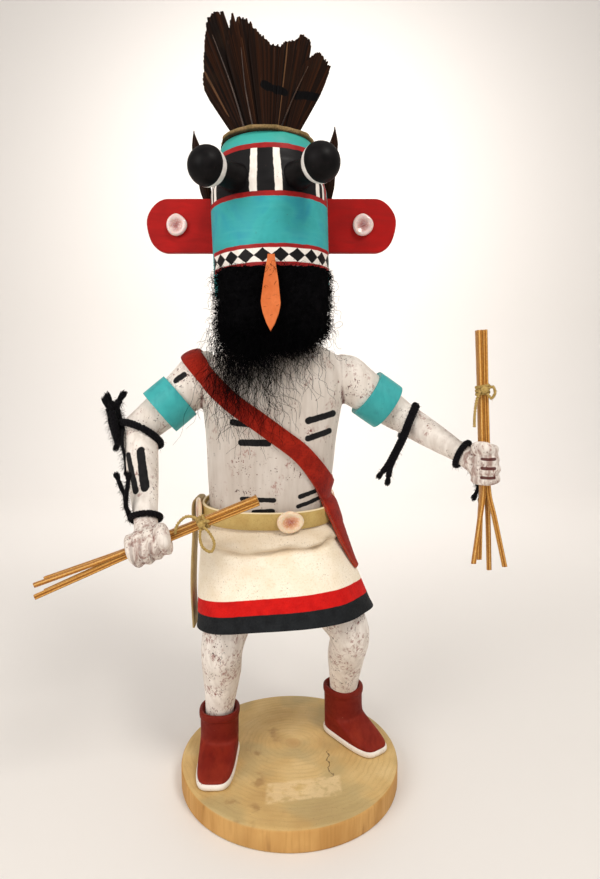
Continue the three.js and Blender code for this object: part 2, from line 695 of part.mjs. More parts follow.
// Cone-like skin of the kilt, standing off the waist by the given distance
function kiltSkin(out, top, overrun) {
  const steps = 5;
  const count = 25;
  const rings = [];
  for (let r = steps; r >= -1; r--) {
    const open = Math.max(0, r / steps);
    const drop = r < 0 ? 0 : KILT_HIP + (1 - KILT_HIP) * open;
    const x = THREE.MathUtils.lerp(waist.x, KILT_HEM.x, open);
    const y = THREE.MathUtils.lerp(waist.y, KILT_HEM.y, open);
    const size = waistAt(out + KILT_FLARE * open ** 0.7);
    const ring = oblong({ x, y, ...size, power: 2.3 }, () => 0, count);
    ring.forEach((p, i) => {
      const wave = FOLD_DEPTH * open * Math.sin((FOLDS * 2 * Math.PI * i) / count + 0.8);
      const upper = beltPlane(top)(p.x, p.y);
      const run = r === steps ? drop + overrun : drop;
      p.z = THREE.MathUtils.lerp(upper, hemPlane(p.x, p.y), run);
      p.x += (wave * (p.x - x)) / size.wide;
      p.y += (wave * (p.y - y)) / size.deep;
    });
    rings.push(ring);
  }
  return solid(loft(rings));
}

function kilt() {
  const outside = kiltSkin(KILT_OUT, KILT_TOP, 0);
  const inside = kiltSkin(GAP, KILT_TOP + 0.6, 0.03);
  piece("kilt", skin(outside.subtract(inside)), COLOURS.cloth, 0.9);
}

// Belt round the top of the kilt
const BELT_OUT = KILT_OUT + GAP + BELT_THICKNESS;
function beltBand(out, low, high) {
  const size = { x: waist.x, y: waist.y, ...waistAt(out), power: 2.3 };
  return solid(loft([low, high].map((height) => oblong(size, beltPlane(height), 30))));
}

function belt() {
  const outside = beltBand(BELT_OUT, BELT_HEIGHT, BELT_HEIGHT + BELT_WIDTH);
  const inside = beltBand(KILT_OUT + GAP, BELT_HEIGHT - 5, BELT_HEIGHT + BELT_WIDTH + 5);
  piece("belt", skin(outside.subtract(inside)), COLOURS.olive, 0.8);
}

// Turn of each belt shell round the waist, in degrees, and how far it stands off the belt
const BELT_SHELLS = {
  front: [-72, 0],
  left: [36, GAP + BANDOLIER_THICKNESS],
  right: [192, 0],
};

function beltShells() {
  const middle = BELT_HEIGHT + BELT_WIDTH / 2;
  for (const [side, [degrees, off]] of Object.entries(BELT_SHELLS)) {
    const turn = THREE.MathUtils.degToRad(degrees);
    const { wide, deep } = waistAt(BELT_OUT + off);
    const edge = (radius, angle) => radius * rounded(angle, 2.3);
    const x = waist.x + edge(wide, Math.cos(turn));
    const y = waist.y + edge(deep, Math.sin(turn));
    const out = vec(Math.cos(turn) / wide, Math.sin(turn) / deep, 0).normalize();
    const at = vec(x, y, beltPlane(middle)(x, y)).addScaledVector(out, 2 * GAP);
    shell("belt_shell_" + side, BELT_SHELL_RADIUS, at, out);
  }
}

// Flat outline of a strip of the given width along a line
function strip(line, width, steps) {
  const path = new THREE.SplineCurve(line.map((p) => new THREE.Vector2(...p)));
  const edges = [[], []];
  for (let i = 0; i <= steps; i++) {
    const at = path.getPoint(i / steps);
    const way = path.getTangent(i / steps).multiplyScalar(width / 2);
    edges[0].push(new THREE.Vector2(at.x - way.y, at.y + way.x));
    edges[1].unshift(new THREE.Vector2(at.x + way.y, at.y - way.x));
  }
  return new THREE.Shape(edges.flat());
}

// Sash strip looped out of the belt at the figure's right, seen from the front
const SASH_Y = 7;
const SASH_OFF = 3.6;
function sash() {
  const side = waist.x - waistAt(BELT_OUT).wide - GAP - SASH_THICKNESS / 2;
  const top = BELT_HEIGHT + BELT_WIDTH;
  const loop = [[side, top - 3], [side - 0.8, top + 1], [side - 3.4, top]];
  const hanging = [[side - SASH_OFF, top - 9], [side - SASH_OFF - 1, top - SASH_LENGTH]];
  const line = [...loop, ...hanging];
  const options = { depth: SASH_WIDTH, bevelEnabled: false };
  const geometry = new THREE.ExtrudeGeometry(strip(line, SASH_THICKNESS, 14), options);
  geometry.rotateX(Math.PI / 2).translate(0, SASH_Y + SASH_WIDTH / 2, 0);
  piece("sash", geometry, COLOURS.olive, 0.8);
}

// Bandolier from the right shoulder to below the left hip, closed behind
const BANDOLIER_LINE = [
  [-55, SHOULDER_HEIGHT + 26],
  [-40.3, SHOULDER_HEIGHT + 8.8],
  [-25.9, chest(0.87)],
  [-11.6, chest(0.656)],
  [2.8, chest(0.44)],
  [11.8, chest(0.22)],
  [17, BELT_HEIGHT + 8.8],
  [20.6, BELT_HEIGHT - 2.2],
  [25.4, BELT_HEIGHT - 13.2],
  [30.6, BELT_HEIGHT - 25.7],
];
const RIBBON_DEPTH = 100;

// All that the bandolier lies on, grown by the given distance
function dressed(grow) {
  return join([
    trunk(grow),
    upperArm(RIGHT_ARM, grow),
    kiltSkin(KILT_OUT + grow, KILT_TOP, 0.1),
    beltBand(BELT_OUT + grow, BELT_HEIGHT - grow, BELT_HEIGHT + BELT_WIDTH + grow),
  ]);
}

function bandolier() {
  const options = { depth: RIBBON_DEPTH, bevelEnabled: false };
  const outline = strip(BANDOLIER_LINE, BANDOLIER_WIDTH, 11);
  const ribbon = new THREE.ExtrudeGeometry(outline, options).rotateX(Math.PI / 2);
  const cutter = solid(ribbon.translate(0, RIBBON_DEPTH / 2, 0));
  const cover = dressed(GAP + BANDOLIER_THICKNESS).subtract(dressed(GAP));
  const parts = cover.intersect(cutter).decompose();
  const largest = parts.reduce((a, b) => (a.volume() > b.volume() ? a : b));
  piece("bandolier", skin(largest), COLOURS.strap, 0.8);
}

// Painted band round an upper arm
function armband(name, arm) {
  const from = point(arm.shoulder);
  const way = point(arm.elbow).sub(from);
  const inner = UPPER_ARM_RADIUS + 0.6 + GAP;
  const outer = inner + ARMBAND_THICKNESS;
  const half = ARMBAND_WIDTH / 2;
  const profile = [[inner, -half], [outer, -half], [outer, half], [inner, half], [inner, -half]];
  const ring = new THREE.LatheGeometry(profile.map((p) => new THREE.Vector2(...p)), 24);
  ring.rotateX(Math.PI / 2).applyMatrix4(along(way, vec(0, 1, 0)));
  piece(name, ring, COLOURS.turquoise, 0.5).position.copy(from.addScaledVector(way, 0.52));
}

const YARN_TILT = 0.08;

// Yarn wound round a forearm at a share of its length, with loose ends
function yarn(name, arm, share, inner, tails) {
  const way = point(arm.wrist).sub(point(arm.elbow));
  const at = point(arm.elbow).addScaledVector(way, share);
  const radius = inner + GAP + YARN_RADIUS;
  const ring = new THREE.TorusGeometry(radius, YARN_RADIUS, 6, 14).rotateX(YARN_TILT);
  const parts = [solid(ring.applyMatrix4(along(way, vec(0, 0, 1))).translate(...at.toArray()))];
  for (const [first, ...rest] of tails) {
    const from = point(first).sub(at).projectOnPlane(way).setLength(radius).add(at);
    parts.push(solid(tube([from, ...rest.map(point)], YARN_RADIUS, 3, 6)));
  }
  piece(name, skin(join(parts)), COLOURS.black, 1);
}

function yarns() {
  yarn("yarn_elbow_right", RIGHT_ARM, 0.17, RIGHT_ARM.elbowRadius + 0.5, [
    [fromShoulders(-72, -12, -24), fromShoulders(-71.8, -13, -17), fromShoulders(-73, -13.5, -10.5)],
  ]);
  yarn("yarn_wrist_right", RIGHT_ARM, 0.97, RIGHT_ARM.wristRadius + 0.8, [
    [fromShoulders(-62, -33, -48), fromShoulders(-62.6, -33, -42), fromShoulders(-63.8, -33.4, -36)],
    [fromShoulders(-60, -37, -48), fromShoulders(-60.2, -38, -43), fromShoulders(-59.6, -38.5, -38)],
  ]);
  yarn("yarn_elbow_left", LEFT_ARM, 0.2, LEFT_ARM.elbowRadius + 0.4, [
    [fromShoulders(48, -12, -29), fromShoulders(44, -14, -33), fromShoulders(40, -14.5, -39.6)],
  ]);
  yarn("yarn_wrist_left", LEFT_ARM, 1, LEFT_ARM.wristRadius + 0.8, [
    [fromShoulders(66, -22, -39), fromShoulders(68, -23, -41.4), fromShoulders(69.4, -24, -47.2)],
    [fromShoulders(63, -24, -37), fromShoulders(64.4, -25, -41), fromShoulders(65.4, -26, -46)],
  ]);
}

// Whip of four straw strips, close together in the fist and at the tie, and spread at the ends
const STRAWS = [
  { x: -1, y: -1, start: [-3.6, -0.6], end: [-0.5, -0.4] },
  { x: 1, y: -1, start: [1.2, -1.2], end: [0.7, -0.3] },
  { x: -1, y: 1, start: [-1.4, 1.2], end: [-0.2, 0.7] },
  { x: 1, y: 1, start: [4.2, 0.8], end: [0.4, 0.5] },
];
const STRAW_PITCH = STRAW_THICKNESS / 2 + 0.16;
const FIST_HALF = 9;

function whip(side, arm, spread) {
  const start = point(arm.whipStart);
  const end = point(arm.whipEnd);
  const hand = gripOf(arm);
  const way = end.clone().sub(start).normalize();
  const tie = hand.clone().lerp(end, arm.tie);
  const frame = along(way, vec(0, 1, 0));
  const offset = (at, x, y) => vec(x, y, 0).applyMatrix4(frame).add(at);
  STRAWS.forEach((straw, i) => {
    const x = straw.x * STRAW_PITCH;
    const y = straw.y * STRAW_PITCH;
    const points = [
      offset(start, x + straw.start[0] * spread, y + straw.start[1] * spread),
      offset(start.clone().lerp(hand, 0.5), x * 1.6 + straw.start[0] * 0.25 * spread, y * 1.5),
      offset(hand.clone().addScaledVector(way, -FIST_HALF), x, y),
      offset(hand.clone().addScaledVector(way, FIST_HALF), x, y),
      offset(tie, x, y),
      offset(end, x + straw.end[0], y + straw.end[1]),
    ];
    const section = new THREE.Shape();
    const half = STRAW_THICKNESS / 2;
    section.moveTo(-half, -half).lineTo(half, -half).lineTo(half, half).lineTo(-half, half);
    const path = new THREE.CatmullRomCurve3(points);
    const options = { extrudePath: path, steps: 9, bevelEnabled: false };
    const geometry = new THREE.ExtrudeGeometry(section, options);
    piece("whip_" + side + "_strip_" + (i + 1), geometry, COLOURS.straw, 0.7);
  });
  whipTie(side, tie, frame);
}

// String round the bundle, with a bow loop and hanging ends
function whipTie(side, at, frame) {
  const radius = (STRAW_PITCH + STRAW_THICKNESS / 2) * Math.SQRT2 + GAP + STRING_RADIUS + 0.35;
  const ring = new THREE.TorusGeometry(radius, STRING_RADIUS, 5, 12);
  const parts = [solid(ring.applyMatrix4(frame))];
  const front = -radius;
  const loops = [
    [[0, 0, 0], [-4, -1.5, 3], [-7, -1, 1], [-4, -0.6, -1.6], [-0.5, -0.2, -0.6]],
    [[0, 0, -0.4], [2.4, -1.4, -4], [1.6, -1, -9.4]],
  ];
  const knot = vec(0, front, 0);
  parts.push(ball(knot.toArray(), [1.4, 1.4, 1.4], undefined, 6));
  for (const loop of loops) {
    parts.push(solid(tube(loop.map((p) => point(p).add(knot)), STRING_RADIUS, 4, 4)));
  }
  piece("whip_tie_" + side, skin(join(parts)), COLOURS.string, 0.9).position.copy(at);
}

base();
carvedBody();
mask();
crown();
fan();
sideFeather("side_feather_right", -1, 14);
sideFeather("side_feather_left", 1, 6);
eye("eye_right", -1);
eye("eye_left", 1);
ear("ear_right", -1);
ear("ear_left", 1);
earShells();
beard();
tongue();
kilt();
belt();
beltShells();
sash();
bandolier();
armband("armband_right", RIGHT_ARM);
armband("armband_left", LEFT_ARM);
yarns();
whip("right", RIGHT_ARM, 1);
whip("left", LEFT_ARM, 1.4);

export default doll;
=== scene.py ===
"""Carved and painted wooden doll on a slice of branch, seen from the front.

Sizes are in millimetres, with the frame's axes: +Z up, the doll faces -Y.
"""

import math

import bmesh
import bpy
import numpy as np
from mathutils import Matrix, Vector
from mathutils.bvhtree import BVHTree


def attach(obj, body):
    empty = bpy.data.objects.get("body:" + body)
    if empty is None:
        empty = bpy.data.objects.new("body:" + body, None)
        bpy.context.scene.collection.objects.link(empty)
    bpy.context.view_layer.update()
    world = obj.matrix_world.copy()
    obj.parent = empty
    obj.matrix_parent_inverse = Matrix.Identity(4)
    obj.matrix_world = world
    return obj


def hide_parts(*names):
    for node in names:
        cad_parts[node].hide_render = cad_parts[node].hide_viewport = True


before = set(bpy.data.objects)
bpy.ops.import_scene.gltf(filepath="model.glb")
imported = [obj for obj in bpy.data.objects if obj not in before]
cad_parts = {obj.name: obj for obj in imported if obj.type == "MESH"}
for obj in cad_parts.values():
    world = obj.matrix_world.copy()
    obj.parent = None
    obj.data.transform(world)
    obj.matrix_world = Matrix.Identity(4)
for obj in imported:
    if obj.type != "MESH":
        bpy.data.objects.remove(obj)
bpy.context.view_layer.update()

MM = 0.001
GAP = 0.3
rng = np.random.default_rng(11)

# Main places, measured as in the solids
BASE_RADIUS = 47.5
BASE_THICKNESS = 9.5
FLOOR = BASE_THICKNESS + GAP
BELT_HEIGHT = 105.2
BELT_WIDTH = 6.8
BELT_THICKNESS = 1.2
MASK_HEIGHT = 197.5
MASK_LENGTH = 58.9
MASK_RADIUS = 23.5
MASK_TOP_RADIUS = 18.4
MASK_STRAIGHT = 39
MASK_LEAN = math.radians(-1.8)
MASK_X = -6.9
NECK_RADIUS = 12.5
UPPER_ARM_RADIUS = 8.3
SHOULDER_HEIGHT = MASK_HEIGHT - 32.5


# Colours


def colour(code):
    """Linear colour of a six-digit hex code."""
    channels = [int(code[i : i + 2], 16) / 255 for i in (0, 2, 4)]
    linear = [c / 12.92 if c <= 0.04045 else ((c + 0.055) / 1.055) ** 2.4 for c in channels]
    return (*linear, 1.0)


# Node materials


class Finish:
    """A material built from nodes, with its coordinates in millimetres."""

    def __init__(self, name, roughness=0.6, gloss=0.3, **sockets):
        self.material = bpy.data.materials.new(name)
        self.material.use_nodes = True
        self.tree = self.material.node_tree
        self.shader = self.tree.nodes["Principled BSDF"]
        self.shader.inputs["Roughness"].default_value = roughness
        self.shader.inputs["Specular IOR Level"].default_value = gloss
        for key, value in sockets.items():
            self.shader.inputs[key.replace("_", " ")].default_value = value
        coordinates = self.tree.nodes.new("ShaderNodeTexCoord")
        self.place = self.vector("SCALE", coordinates.outputs["Object"], scale=1 / MM)
        self.x, self.y, self.z = self.split(self.place)

    def feed(self, socket, value):
        """Links a socket to another, or gives it a number, a vector or the hex code of a colour."""
        if isinstance(value, bpy.types.NodeSocket):
            self.tree.links.new(value, socket)
        else:
            socket.default_value = colour(value) if isinstance(value, str) else value

    def vector(self, operation, a, b=None, scale=None):
        node = self.tree.nodes.new("ShaderNodeVectorMath")
        node.operation = operation
        self.feed(node.inputs[0], a)
        if b is not None:
            self.feed(node.inputs[1], b)
        if scale is not None:
            node.inputs["Scale"].default_value = scale
        return node.outputs["Value" if operation in ("DOT_PRODUCT", "LENGTH", "DISTANCE") else "Vector"]

    def split(self, vector):
        node = self.tree.nodes.new("ShaderNodeSeparateXYZ")
        self.feed(node.inputs[0], vector)
        return node.outputs

    def math(self, operation, a, b=0.0):
        node = self.tree.nodes.new("ShaderNodeMath")
        node.operation = operation
        self.feed(node.inputs[0], a)
        self.feed(node.inputs[1], b)
        return node.outputs[0]

    def times(self, a, b):
        return self.math("MULTIPLY", a, b)

    def plus(self, a, b):
        return self.math("ADD", a, b)

    def minus(self, a, b):
        return self.math("SUBTRACT", a, b)

    def most(self, a, b):
        return self.math("MAXIMUM", a, b)

    def swing(self, amount, *settings, **more):
        """Noise about zero, by half the amount to each side at most."""
        return self.times(self.minus(self.noise(*settings, **more), 0.5), amount)

    def step(self, value, low, high, start=0.0, end=1.0):
        """Smooth change from start to end while value goes from low to high."""
        node = self.tree.nodes.new("ShaderNodeMapRange")
        node.interpolation_type = "SMOOTHSTEP"
        for i, v in enumerate((value, low, high, start, end)):
            self.feed(node.inputs[i], v)
        return node.outputs[0]

    def within(self, value, low, high, soft=0.12):
        """1 where value is between low and high."""
        rise = self.step(value, low - soft, low + soft)
        return self.times(rise, self.step(value, high - soft, high + soft, 1, 0))

    def noise(self, size, detail=3.0, stretch=(1, 1, 1), distortion=0.0, seed=0.0):
        """Noise from 0 to 1 whose features are about size millimetres."""
        node = self.tree.nodes.new("ShaderNodeTexNoise")
        moved = self.vector("MULTIPLY", self.place, tuple(1 / s for s in stretch))
        moved = self.vector("ADD", moved, (seed * 31.7, seed * 12.9, seed * 7.1))
        self.feed(node.inputs["Vector"], moved)
        node.inputs["Scale"].default_value = 1 / size
        node.inputs["Detail"].default_value = detail
        node.inputs["Distortion"].default_value = distortion
        return node.outputs[0]

    def cells(self, size):
        """Distance from the middle of the nearest cell, for cells about size millimetres wide."""
        node = self.tree.nodes.new("ShaderNodeTexVoronoi")
        self.feed(node.inputs["Vector"], self.place)
        node.inputs["Scale"].default_value = 1 / size
        return node.outputs["Distance"]

    def attribute(self, name):
        node = self.tree.nodes.new("ShaderNodeAttribute")
        node.attribute_name = name
        return node.outputs["Fac"]

    def mix(self, share, a, b):
        node = self.tree.nodes.new("ShaderNodeMix")
        node.data_type = "RGBA"
        self.feed(node.inputs["Factor"], share)
        self.feed(node.inputs[6], a)
        self.feed(node.inputs[7], b)
        return node.outputs[2]

    def shades(self, value, *stops):
        """Colour ramp with stops of position and hex code."""
        node = self.tree.nodes.new("ShaderNodeValToRGB")
        elements = node.color_ramp.elements
        while len(elements) < len(stops):
            elements.new(0.5)
        for element, (position, code) in zip(elements, stops):
            element.position = position
            element.color = colour(code)
        self.feed(node.inputs[0], value)
        return node.outputs[0]

    def capsule(self, a, b, radius, wobble):
        """1 inside a bar with round ends from a to b, in the plane of X and Z."""
        (ax, az), (bx, bz) = a, b
        length = math.hypot(bx - ax, bz - az)
        ux, uz = (bx - ax) / length, (bz - az) / length
        dx, dz = self.minus(self.x, ax), self.minus(self.z, az)
        along = self.plus(self.times(dx, ux), self.times(dz, uz))
        across = self.minus(self.times(dx, uz), self.times(dz, ux))
        over = self.minus(self.math("ABSOLUTE", self.minus(along, length / 2)), length / 2)
        over = self.most(over, 0.0)
        square = self.plus(self.times(over, over), self.times(across, across))
        distance = self.plus(self.math("SQRT", square), wobble)
        return self.step(distance, radius - 0.12, radius + 0.12, 1, 0)

    def finish(self, base, roughness=None, height=None, bump=0.2, depth=0.2):
        self.feed(self.shader.inputs["Base Color"], base)
        if roughness is not None:
            self.feed(self.shader.inputs["Roughness"], roughness)
        if height is not None:
            node = self.tree.nodes.new("ShaderNodeBump")
            node.inputs["Strength"].default_value = bump
            node.inputs["Distance"].default_value = depth * MM
            self.feed(node.inputs["Height"], height)
            self.feed(self.shader.inputs["Normal"], node.outputs[0])
        return self.material


# Meshes


def make(name, points, faces, material, slot, nodes=()):
    """A piece that rides on the doll, from points in millimetres."""
    mesh = bpy.data.meshes.new(name)
    mesh.from_pydata((np.asarray(points, float) * MM).tolist(), [], faces)
    mesh.validate()
    mesh.materials.append(material)
    mesh.shade_smooth()
    piece = bpy.data.objects.new(name, mesh)
    bpy.context.scene.collection.objects.link(piece)
    return dress(piece, nodes)


def dress(piece, nodes=()):
    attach(piece, "root")
    if nodes:
        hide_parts(*nodes)
    return piece


def apply(piece, kind, **settings):
    """Adds a modifier and applies it."""
    modifier = piece.modifiers.new(kind.title(), kind)
    for key, value in settings.items():
        setattr(modifier, key, value)
    graph = bpy.context.evaluated_depsgraph_get()
    mesh = bpy.data.meshes.new_from_object(piece.evaluated_get(graph))
    piece.modifiers.clear()
    old = piece.data
    piece.data = mesh
    bpy.data.meshes.remove(old)
    mesh.shade_smooth()


def positions(mesh):
    values = np.empty(len(mesh.vertices) * 3)
    mesh.vertices.foreach_get("co", values)
    return values.reshape(-1, 3) / MM


def normals(mesh):
    values = np.empty(len(mesh.vertices) * 3)
    mesh.vertex_normals.foreach_get("vector", values)
    return values.reshape(-1, 3)


def set_positions(mesh, points):
    mesh.vertices.foreach_set("co", (points * MM).ravel())
    mesh.update()


def paint_on(mesh, name, values):
    layer = mesh.attributes.new(name, "FLOAT", "POINT")
    layer.data.foreach_set("value", np.asarray(values, float))


def skin(rings, caps=True):
    """Points and faces of a skin over rings of equally many points."""
    rings = np.asarray(rings, float)
    count, sides = rings.shape[:2]
    points = rings.reshape(-1, 3).tolist()
    faces = []
    for r in range(count - 1):
        for i in range(sides):
            j = (i + 1) % sides
            low, high = r * sides, (r + 1) * sides
            faces.append((low + i, low + j, high + j, high + i))
    if caps:
        points += [rings[0].mean(0).tolist(), rings[-1].mean(0).tolist()]
        foot, head, last = len(points) - 2, len(points) - 1, (count - 1) * sides
        for i in range(sides):
            j = (i + 1) % sides
            faces += [(foot, j, i), (head, last + i, last + j)]
    return points, faces


def joined(*skins):
    points, faces = [], []
    for p, f in skins:
        start = len(points)
        points += list(p)
        faces += [tuple(i + start for i in face) for face in f]
    return points, faces


def between(stations, share):
    """Smooth values between stations, at a share of the way along them."""
    stations = np.asarray(stations, float)
    last = len(stations) - 1
    at = min(share * last, last - 1e-9)
    i = int(at)
    t = at - i
    before, low, high, after = stations[[max(i - 1, 0), i, i + 1, min(i + 2, last)]]
    pull, push = (high - before) / 2, (after - low) / 2
    cubic = (2 * low - 2 * high + pull + push) * t**3
    return cubic + (-3 * low + 3 * high - 2 * pull - push) * t**2 + pull * t + low


def path_points(points, steps):
    return np.array([between(points, s) for s in np.linspace(0, 1, steps + 1)])


def squared(value, power):
    """Cosine or sine of an angle, drawn out to a squarer section by a power above 2."""
    return np.sign(value) * np.abs(value) ** (2 / power)


def oblong(x, y, wide, deep, power, count):
    turn = angles(count)
    c, s = np.cos(turn), np.sin(turn)
    px = x + wide * squared(c, power)
    py = y + deep * squared(s, power)
    return px, py


def angles(count):
    return np.linspace(0, 2 * np.pi, count, endpoint=False)


def unit(v):
    return v / np.maximum(np.linalg.norm(v, axis=-1, keepdims=True), 1e-9)


def frames(path):
    """Two steady directions across a path."""
    tangents = unit(np.gradient(path, axis=0))
    start = np.array([0, 1.0, 0]) if abs(tangents[0][1]) < 0.8 else np.array([1.0, 0, 0])
    across = unit(np.cross(start, tangents[0]))
    sides, ups = [], []
    for tangent in tangents:
        across = unit(across - tangent * across.dot(tangent))
        sides.append(across)
        ups.append(np.cross(tangent, across))
    return np.array(sides), np.array(ups)


def tube(path, radii, sides):
    path = np.asarray(path, float)
    radii = np.broadcast_to(radii, len(path))
    across, up = frames(path)
    turn = angles(sides)
    rings = [
        p + r * (np.cos(turn)[:, None] * a + np.sin(turn)[:, None] * u)
        for p, r, a, u in zip(path, radii, across, up)
    ]
    return skin(rings)


def limb(centres, radii, steps=40, sides=40):
    path = path_points(centres, steps)
    sizes = path_points(np.asarray(radii, float)[:, None], steps)[:, 0]
    return tube(path, sizes, sides)


def blob(size, place, power=2.0, count=24):
    """Closed rounded form, with place turning its points into the doll's."""
    rings = []
    for v in np.linspace(-0.5, 0.5, count // 2 + 1)[1:-1] * np.pi:
        c, s = math.cos(v), math.sin(v)
        px, py = oblong(0, 0, 1, 1, power, count)
        level = squared(s, power)
        ring = np.stack([px * c ** (2 / power), py * c ** (2 / power), np.full(count, level)], 1)
        rings.append(place(ring * size))
    return skin(rings)


def fibres(paths, widths):
    """Thin three-sided hairs along many paths at once."""
    paths = np.asarray(paths, float)
    number, steps = paths.shape[:2]
    tangents = unit(np.gradient(paths, axis=1))
    hint = unit(rng.normal(size=(number, 1, 3)))
    across = unit(np.cross(tangents, np.broadcast_to(hint, tangents.shape)))
    up = np.cross(tangents, across)
    widths = np.broadcast_to(widths, (number, steps))[..., None]
    corners = []
    for turn in (0, 2 * np.pi / 3, 4 * np.pi / 3):
        corners.append(paths + widths / 2 * (math.cos(turn) * across + math.sin(turn) * up))
    points = np.stack(corners, 2).reshape(-1, 3)
    base = np.arange(number * steps).reshape(number, steps)[:, :-1].ravel() * 3
    faces = []
    for side in range(3):
        other = (side + 1) % 3
        faces.append(np.stack([base + side, base + other, base + 3 + other, base + 3 + side], 1))
    return points, np.concatenate(faces).tolist()


def along(direction, hint):
    """Directions X, Y and Z, with Z along the direction and X nearest to the hint."""
    z = unit(np.asarray(direction, float))
    y = unit(np.cross(z, hint))
    return np.stack([np.cross(y, z), y, z])


# Shapes of the body, as in the solids

WAIST_TOP = BELT_HEIGHT + 9.8
HIP_HEIGHT = BELT_HEIGHT - 17.2
NECK_TOP = MASK_HEIGHT - GAP


def chest(share):
    return WAIST_TOP + (SHOULDER_HEIGHT - WAIST_TOP) * share


# Height, middle across and deep, half width and depth, and share of the tilt at each station
TRUNK = [
    (HIP_HEIGHT - 12, -6, 0, 15, 11, 0),
    (HIP_HEIGHT - 6, -7, 0, 22, 15.5, 0),
    (HIP_HEIGHT + 4, -9, -0.5, 24.6, 17.6, 0),
    (HIP_HEIGHT + 14, -9.2, -0.5, 24.6, 18, 0),
    (WAIST_TOP, -9.2, -0.5, 24.6, 18, 0),
    (chest(0.2), -8.2, -0.3, 26.1, 18.8, 0),
    (chest(0.5), -7.6, 0, 27.2, 19.6, 0.3),
    (chest(0.78), -7, 0, 29, 19.8, 0.7),
    (chest(0.98), -6.9, 0, 30.6, 18.8, 1),
    (SHOULDER_HEIGHT + 6, -6.9, 0, 28.5, 16.8, 1),
    (SHOULDER_HEIGHT + 11, -6.9, 0.3, 22, 14.5, 0.8),
    (SHOULDER_HEIGHT + 15, -6.9, 0.4, NECK_RADIUS + 3, NECK_RADIUS, 0.3),
    (SHOULDER_HEIGHT + 22, -6.9, 0, NECK_RADIUS, NECK_RADIUS, 0),
    (NECK_TOP, MASK_X, 0, NECK_RADIUS, NECK_RADIUS, 0.6),
]
SHOULDER_TILT = 0.05
# Squareness of the trunk's section, and of what is worn at the waist
SECTION = 2.3
WAIST = TRUNK[3]


def raised(x, y, z):
    return np.array([x, y, SHOULDER_HEIGHT + z])


ARMS = {
    "right": {
        "shoulder": raised(-36.5, 0, 0),
        "elbow": raised(-61.2, -6, -21),
        "wrist": raised(-52.6, -34, -52.4),
        "elbow_radius": 6.6,
        "wrist_radius": 4.4,
        "grip": 0.502,
        "hand": (1, 1, 1),
        "shoulder_size": 2.2,
        "open": (0.25, 0),
        "tie": 0.49,
        "start": raised(-89.1, -44, -75.2),
        "end": raised(-10.8, -38, -44.2),
        "spread": 1,
    },
    "left": {
        "shoulder": raised(23.5, 0, -0.2),
        "elbow": raised(45.6, 3, -15.4),
        "wrist": raised(65.6, -21, -28.6),
        "elbow_radius": 6.2,
        "wrist_radius": 4,
        "grip": 0.456,
        "hand": (0.86, 0.8, 0.98),
        "shoulder_size": 1.2,
        "open": (0.36, 0.33),
        "tie": 0.56,
        "start": raised(75.4, -30, -73.6),
        "end": raised(70.4, -30, 17.1),
        "spread": 1.4,
    },
}
LEGS = {
    "right": [(-19, 0, HIP_HEIGHT), (-27.6, -12.5, 55.5), (-31, -0.5, 19)],
    "left": [(5, 1, HIP_HEIGHT), (25.2, -3.5, 57.5), (24.6, 16.5, 18)],
}
BOOT_TURNS = {"right": math.radians(0.5), "left": math.radians(36)}


def trunk(grow=0.0, steps=90, count=96):
    rings = []
    for share in np.linspace(0, 1, steps + 1):
        z, x, y, wide, deep, tilt = between(TRUNK, share)
        px, py = oblong(x, y, wide + grow, deep + grow, SECTION, count)
        rings.append(np.stack([px, py, z + tilt * SHOULDER_TILT * (px - x)], 1))
    return skin(rings)


def trunk_at(z):
    """Section of the trunk at a height above the base."""
    heights = np.array([s[0] for s in TRUNK])
    table = np.array(TRUNK)
    return [np.interp(z, heights, table[:, k]) for k in (1, 2, 3, 4)]


def upper_arm(arm, grow=0.0):
    shares = (-0.28, -0.05, 0.25, 0.5, 0.8, 1.1)
    full = arm["shoulder_size"]
    radii = [UPPER_ARM_RADIUS + r + grow for r in (-1.5, full, full * 0.55, 0, -0.8, -1.7)]
    centres = [arm["shoulder"] + (arm["elbow"] - arm["shoulder"]) * s for s in shares]
    return limb(centres, radii)


def forearm(arm):
    shares = (-0.12, 0.06, 0.4, 0.75, 1, 1.25)
    full = (0.2, 1, 0.85, 0.4, 0, 0.15)
    thin, thick = arm["wrist_radius"], arm["elbow_radius"]
    centres = [arm["elbow"] + (arm["wrist"] - arm["elbow"]) * s for s in shares]
    joint = thick + 0.5
    elbow = blob((joint, joint, joint), lambda p: p + arm["elbow"])
    return joined(limb(centres, [thin + (thick - thin) * f for f in full]), elbow)


def grip_of(arm):
    return arm["start"] + (arm["end"] - arm["start"]) * arm["grip"]


FINGER_PITCH = 3.8


def fist(arm):
    axes = along(arm["end"] - arm["start"], grip_of(arm) - arm["wrist"])
    grip = grip_of(arm)

    def at(x, y, z):
        return lambda p: ((p + np.array([x, y, z])) * arm["hand"]) @ axes + grip

    parts = [blob((5.8, 5.4, 6.4), at(-2.4, 0.6, 0), 2.2)]
    for i in range(4):
        size = 1 - 0.05 * abs(i - 1)
        level = (i - 1.5) * FINGER_PITCH
        parts.append(blob((6.2 * size, 6.2 * size, 2.1), at(0.6, -0.4, level), 2.9))
    parts.append(blob((5.2, 3, 2.6), at(1.5, -4.2, 6.6), 2.5))
    return joined(*parts)


def leg(points):
    hip, knee, ankle = (np.array(p, float) for p in points)
    centres = [
        hip,
        (hip + knee) / 2 + (0, -0.5, 0),
        knee,
        knee + (ankle - knee) * 0.4 + (0, 1, 0),
        knee + (ankle - knee) * 0.72 + (0, 0.8, 0),
        ankle,
        ankle + (0, 0, -9),
    ]
    return limb(centres, (12.6, 10.8, 8.8, 8.2, 6.9, 6.1, 6.1))


def lifted(skin_):
    points, faces = skin_
    return np.asarray(points) + (0, 0, FLOOR), faces


# Painted body


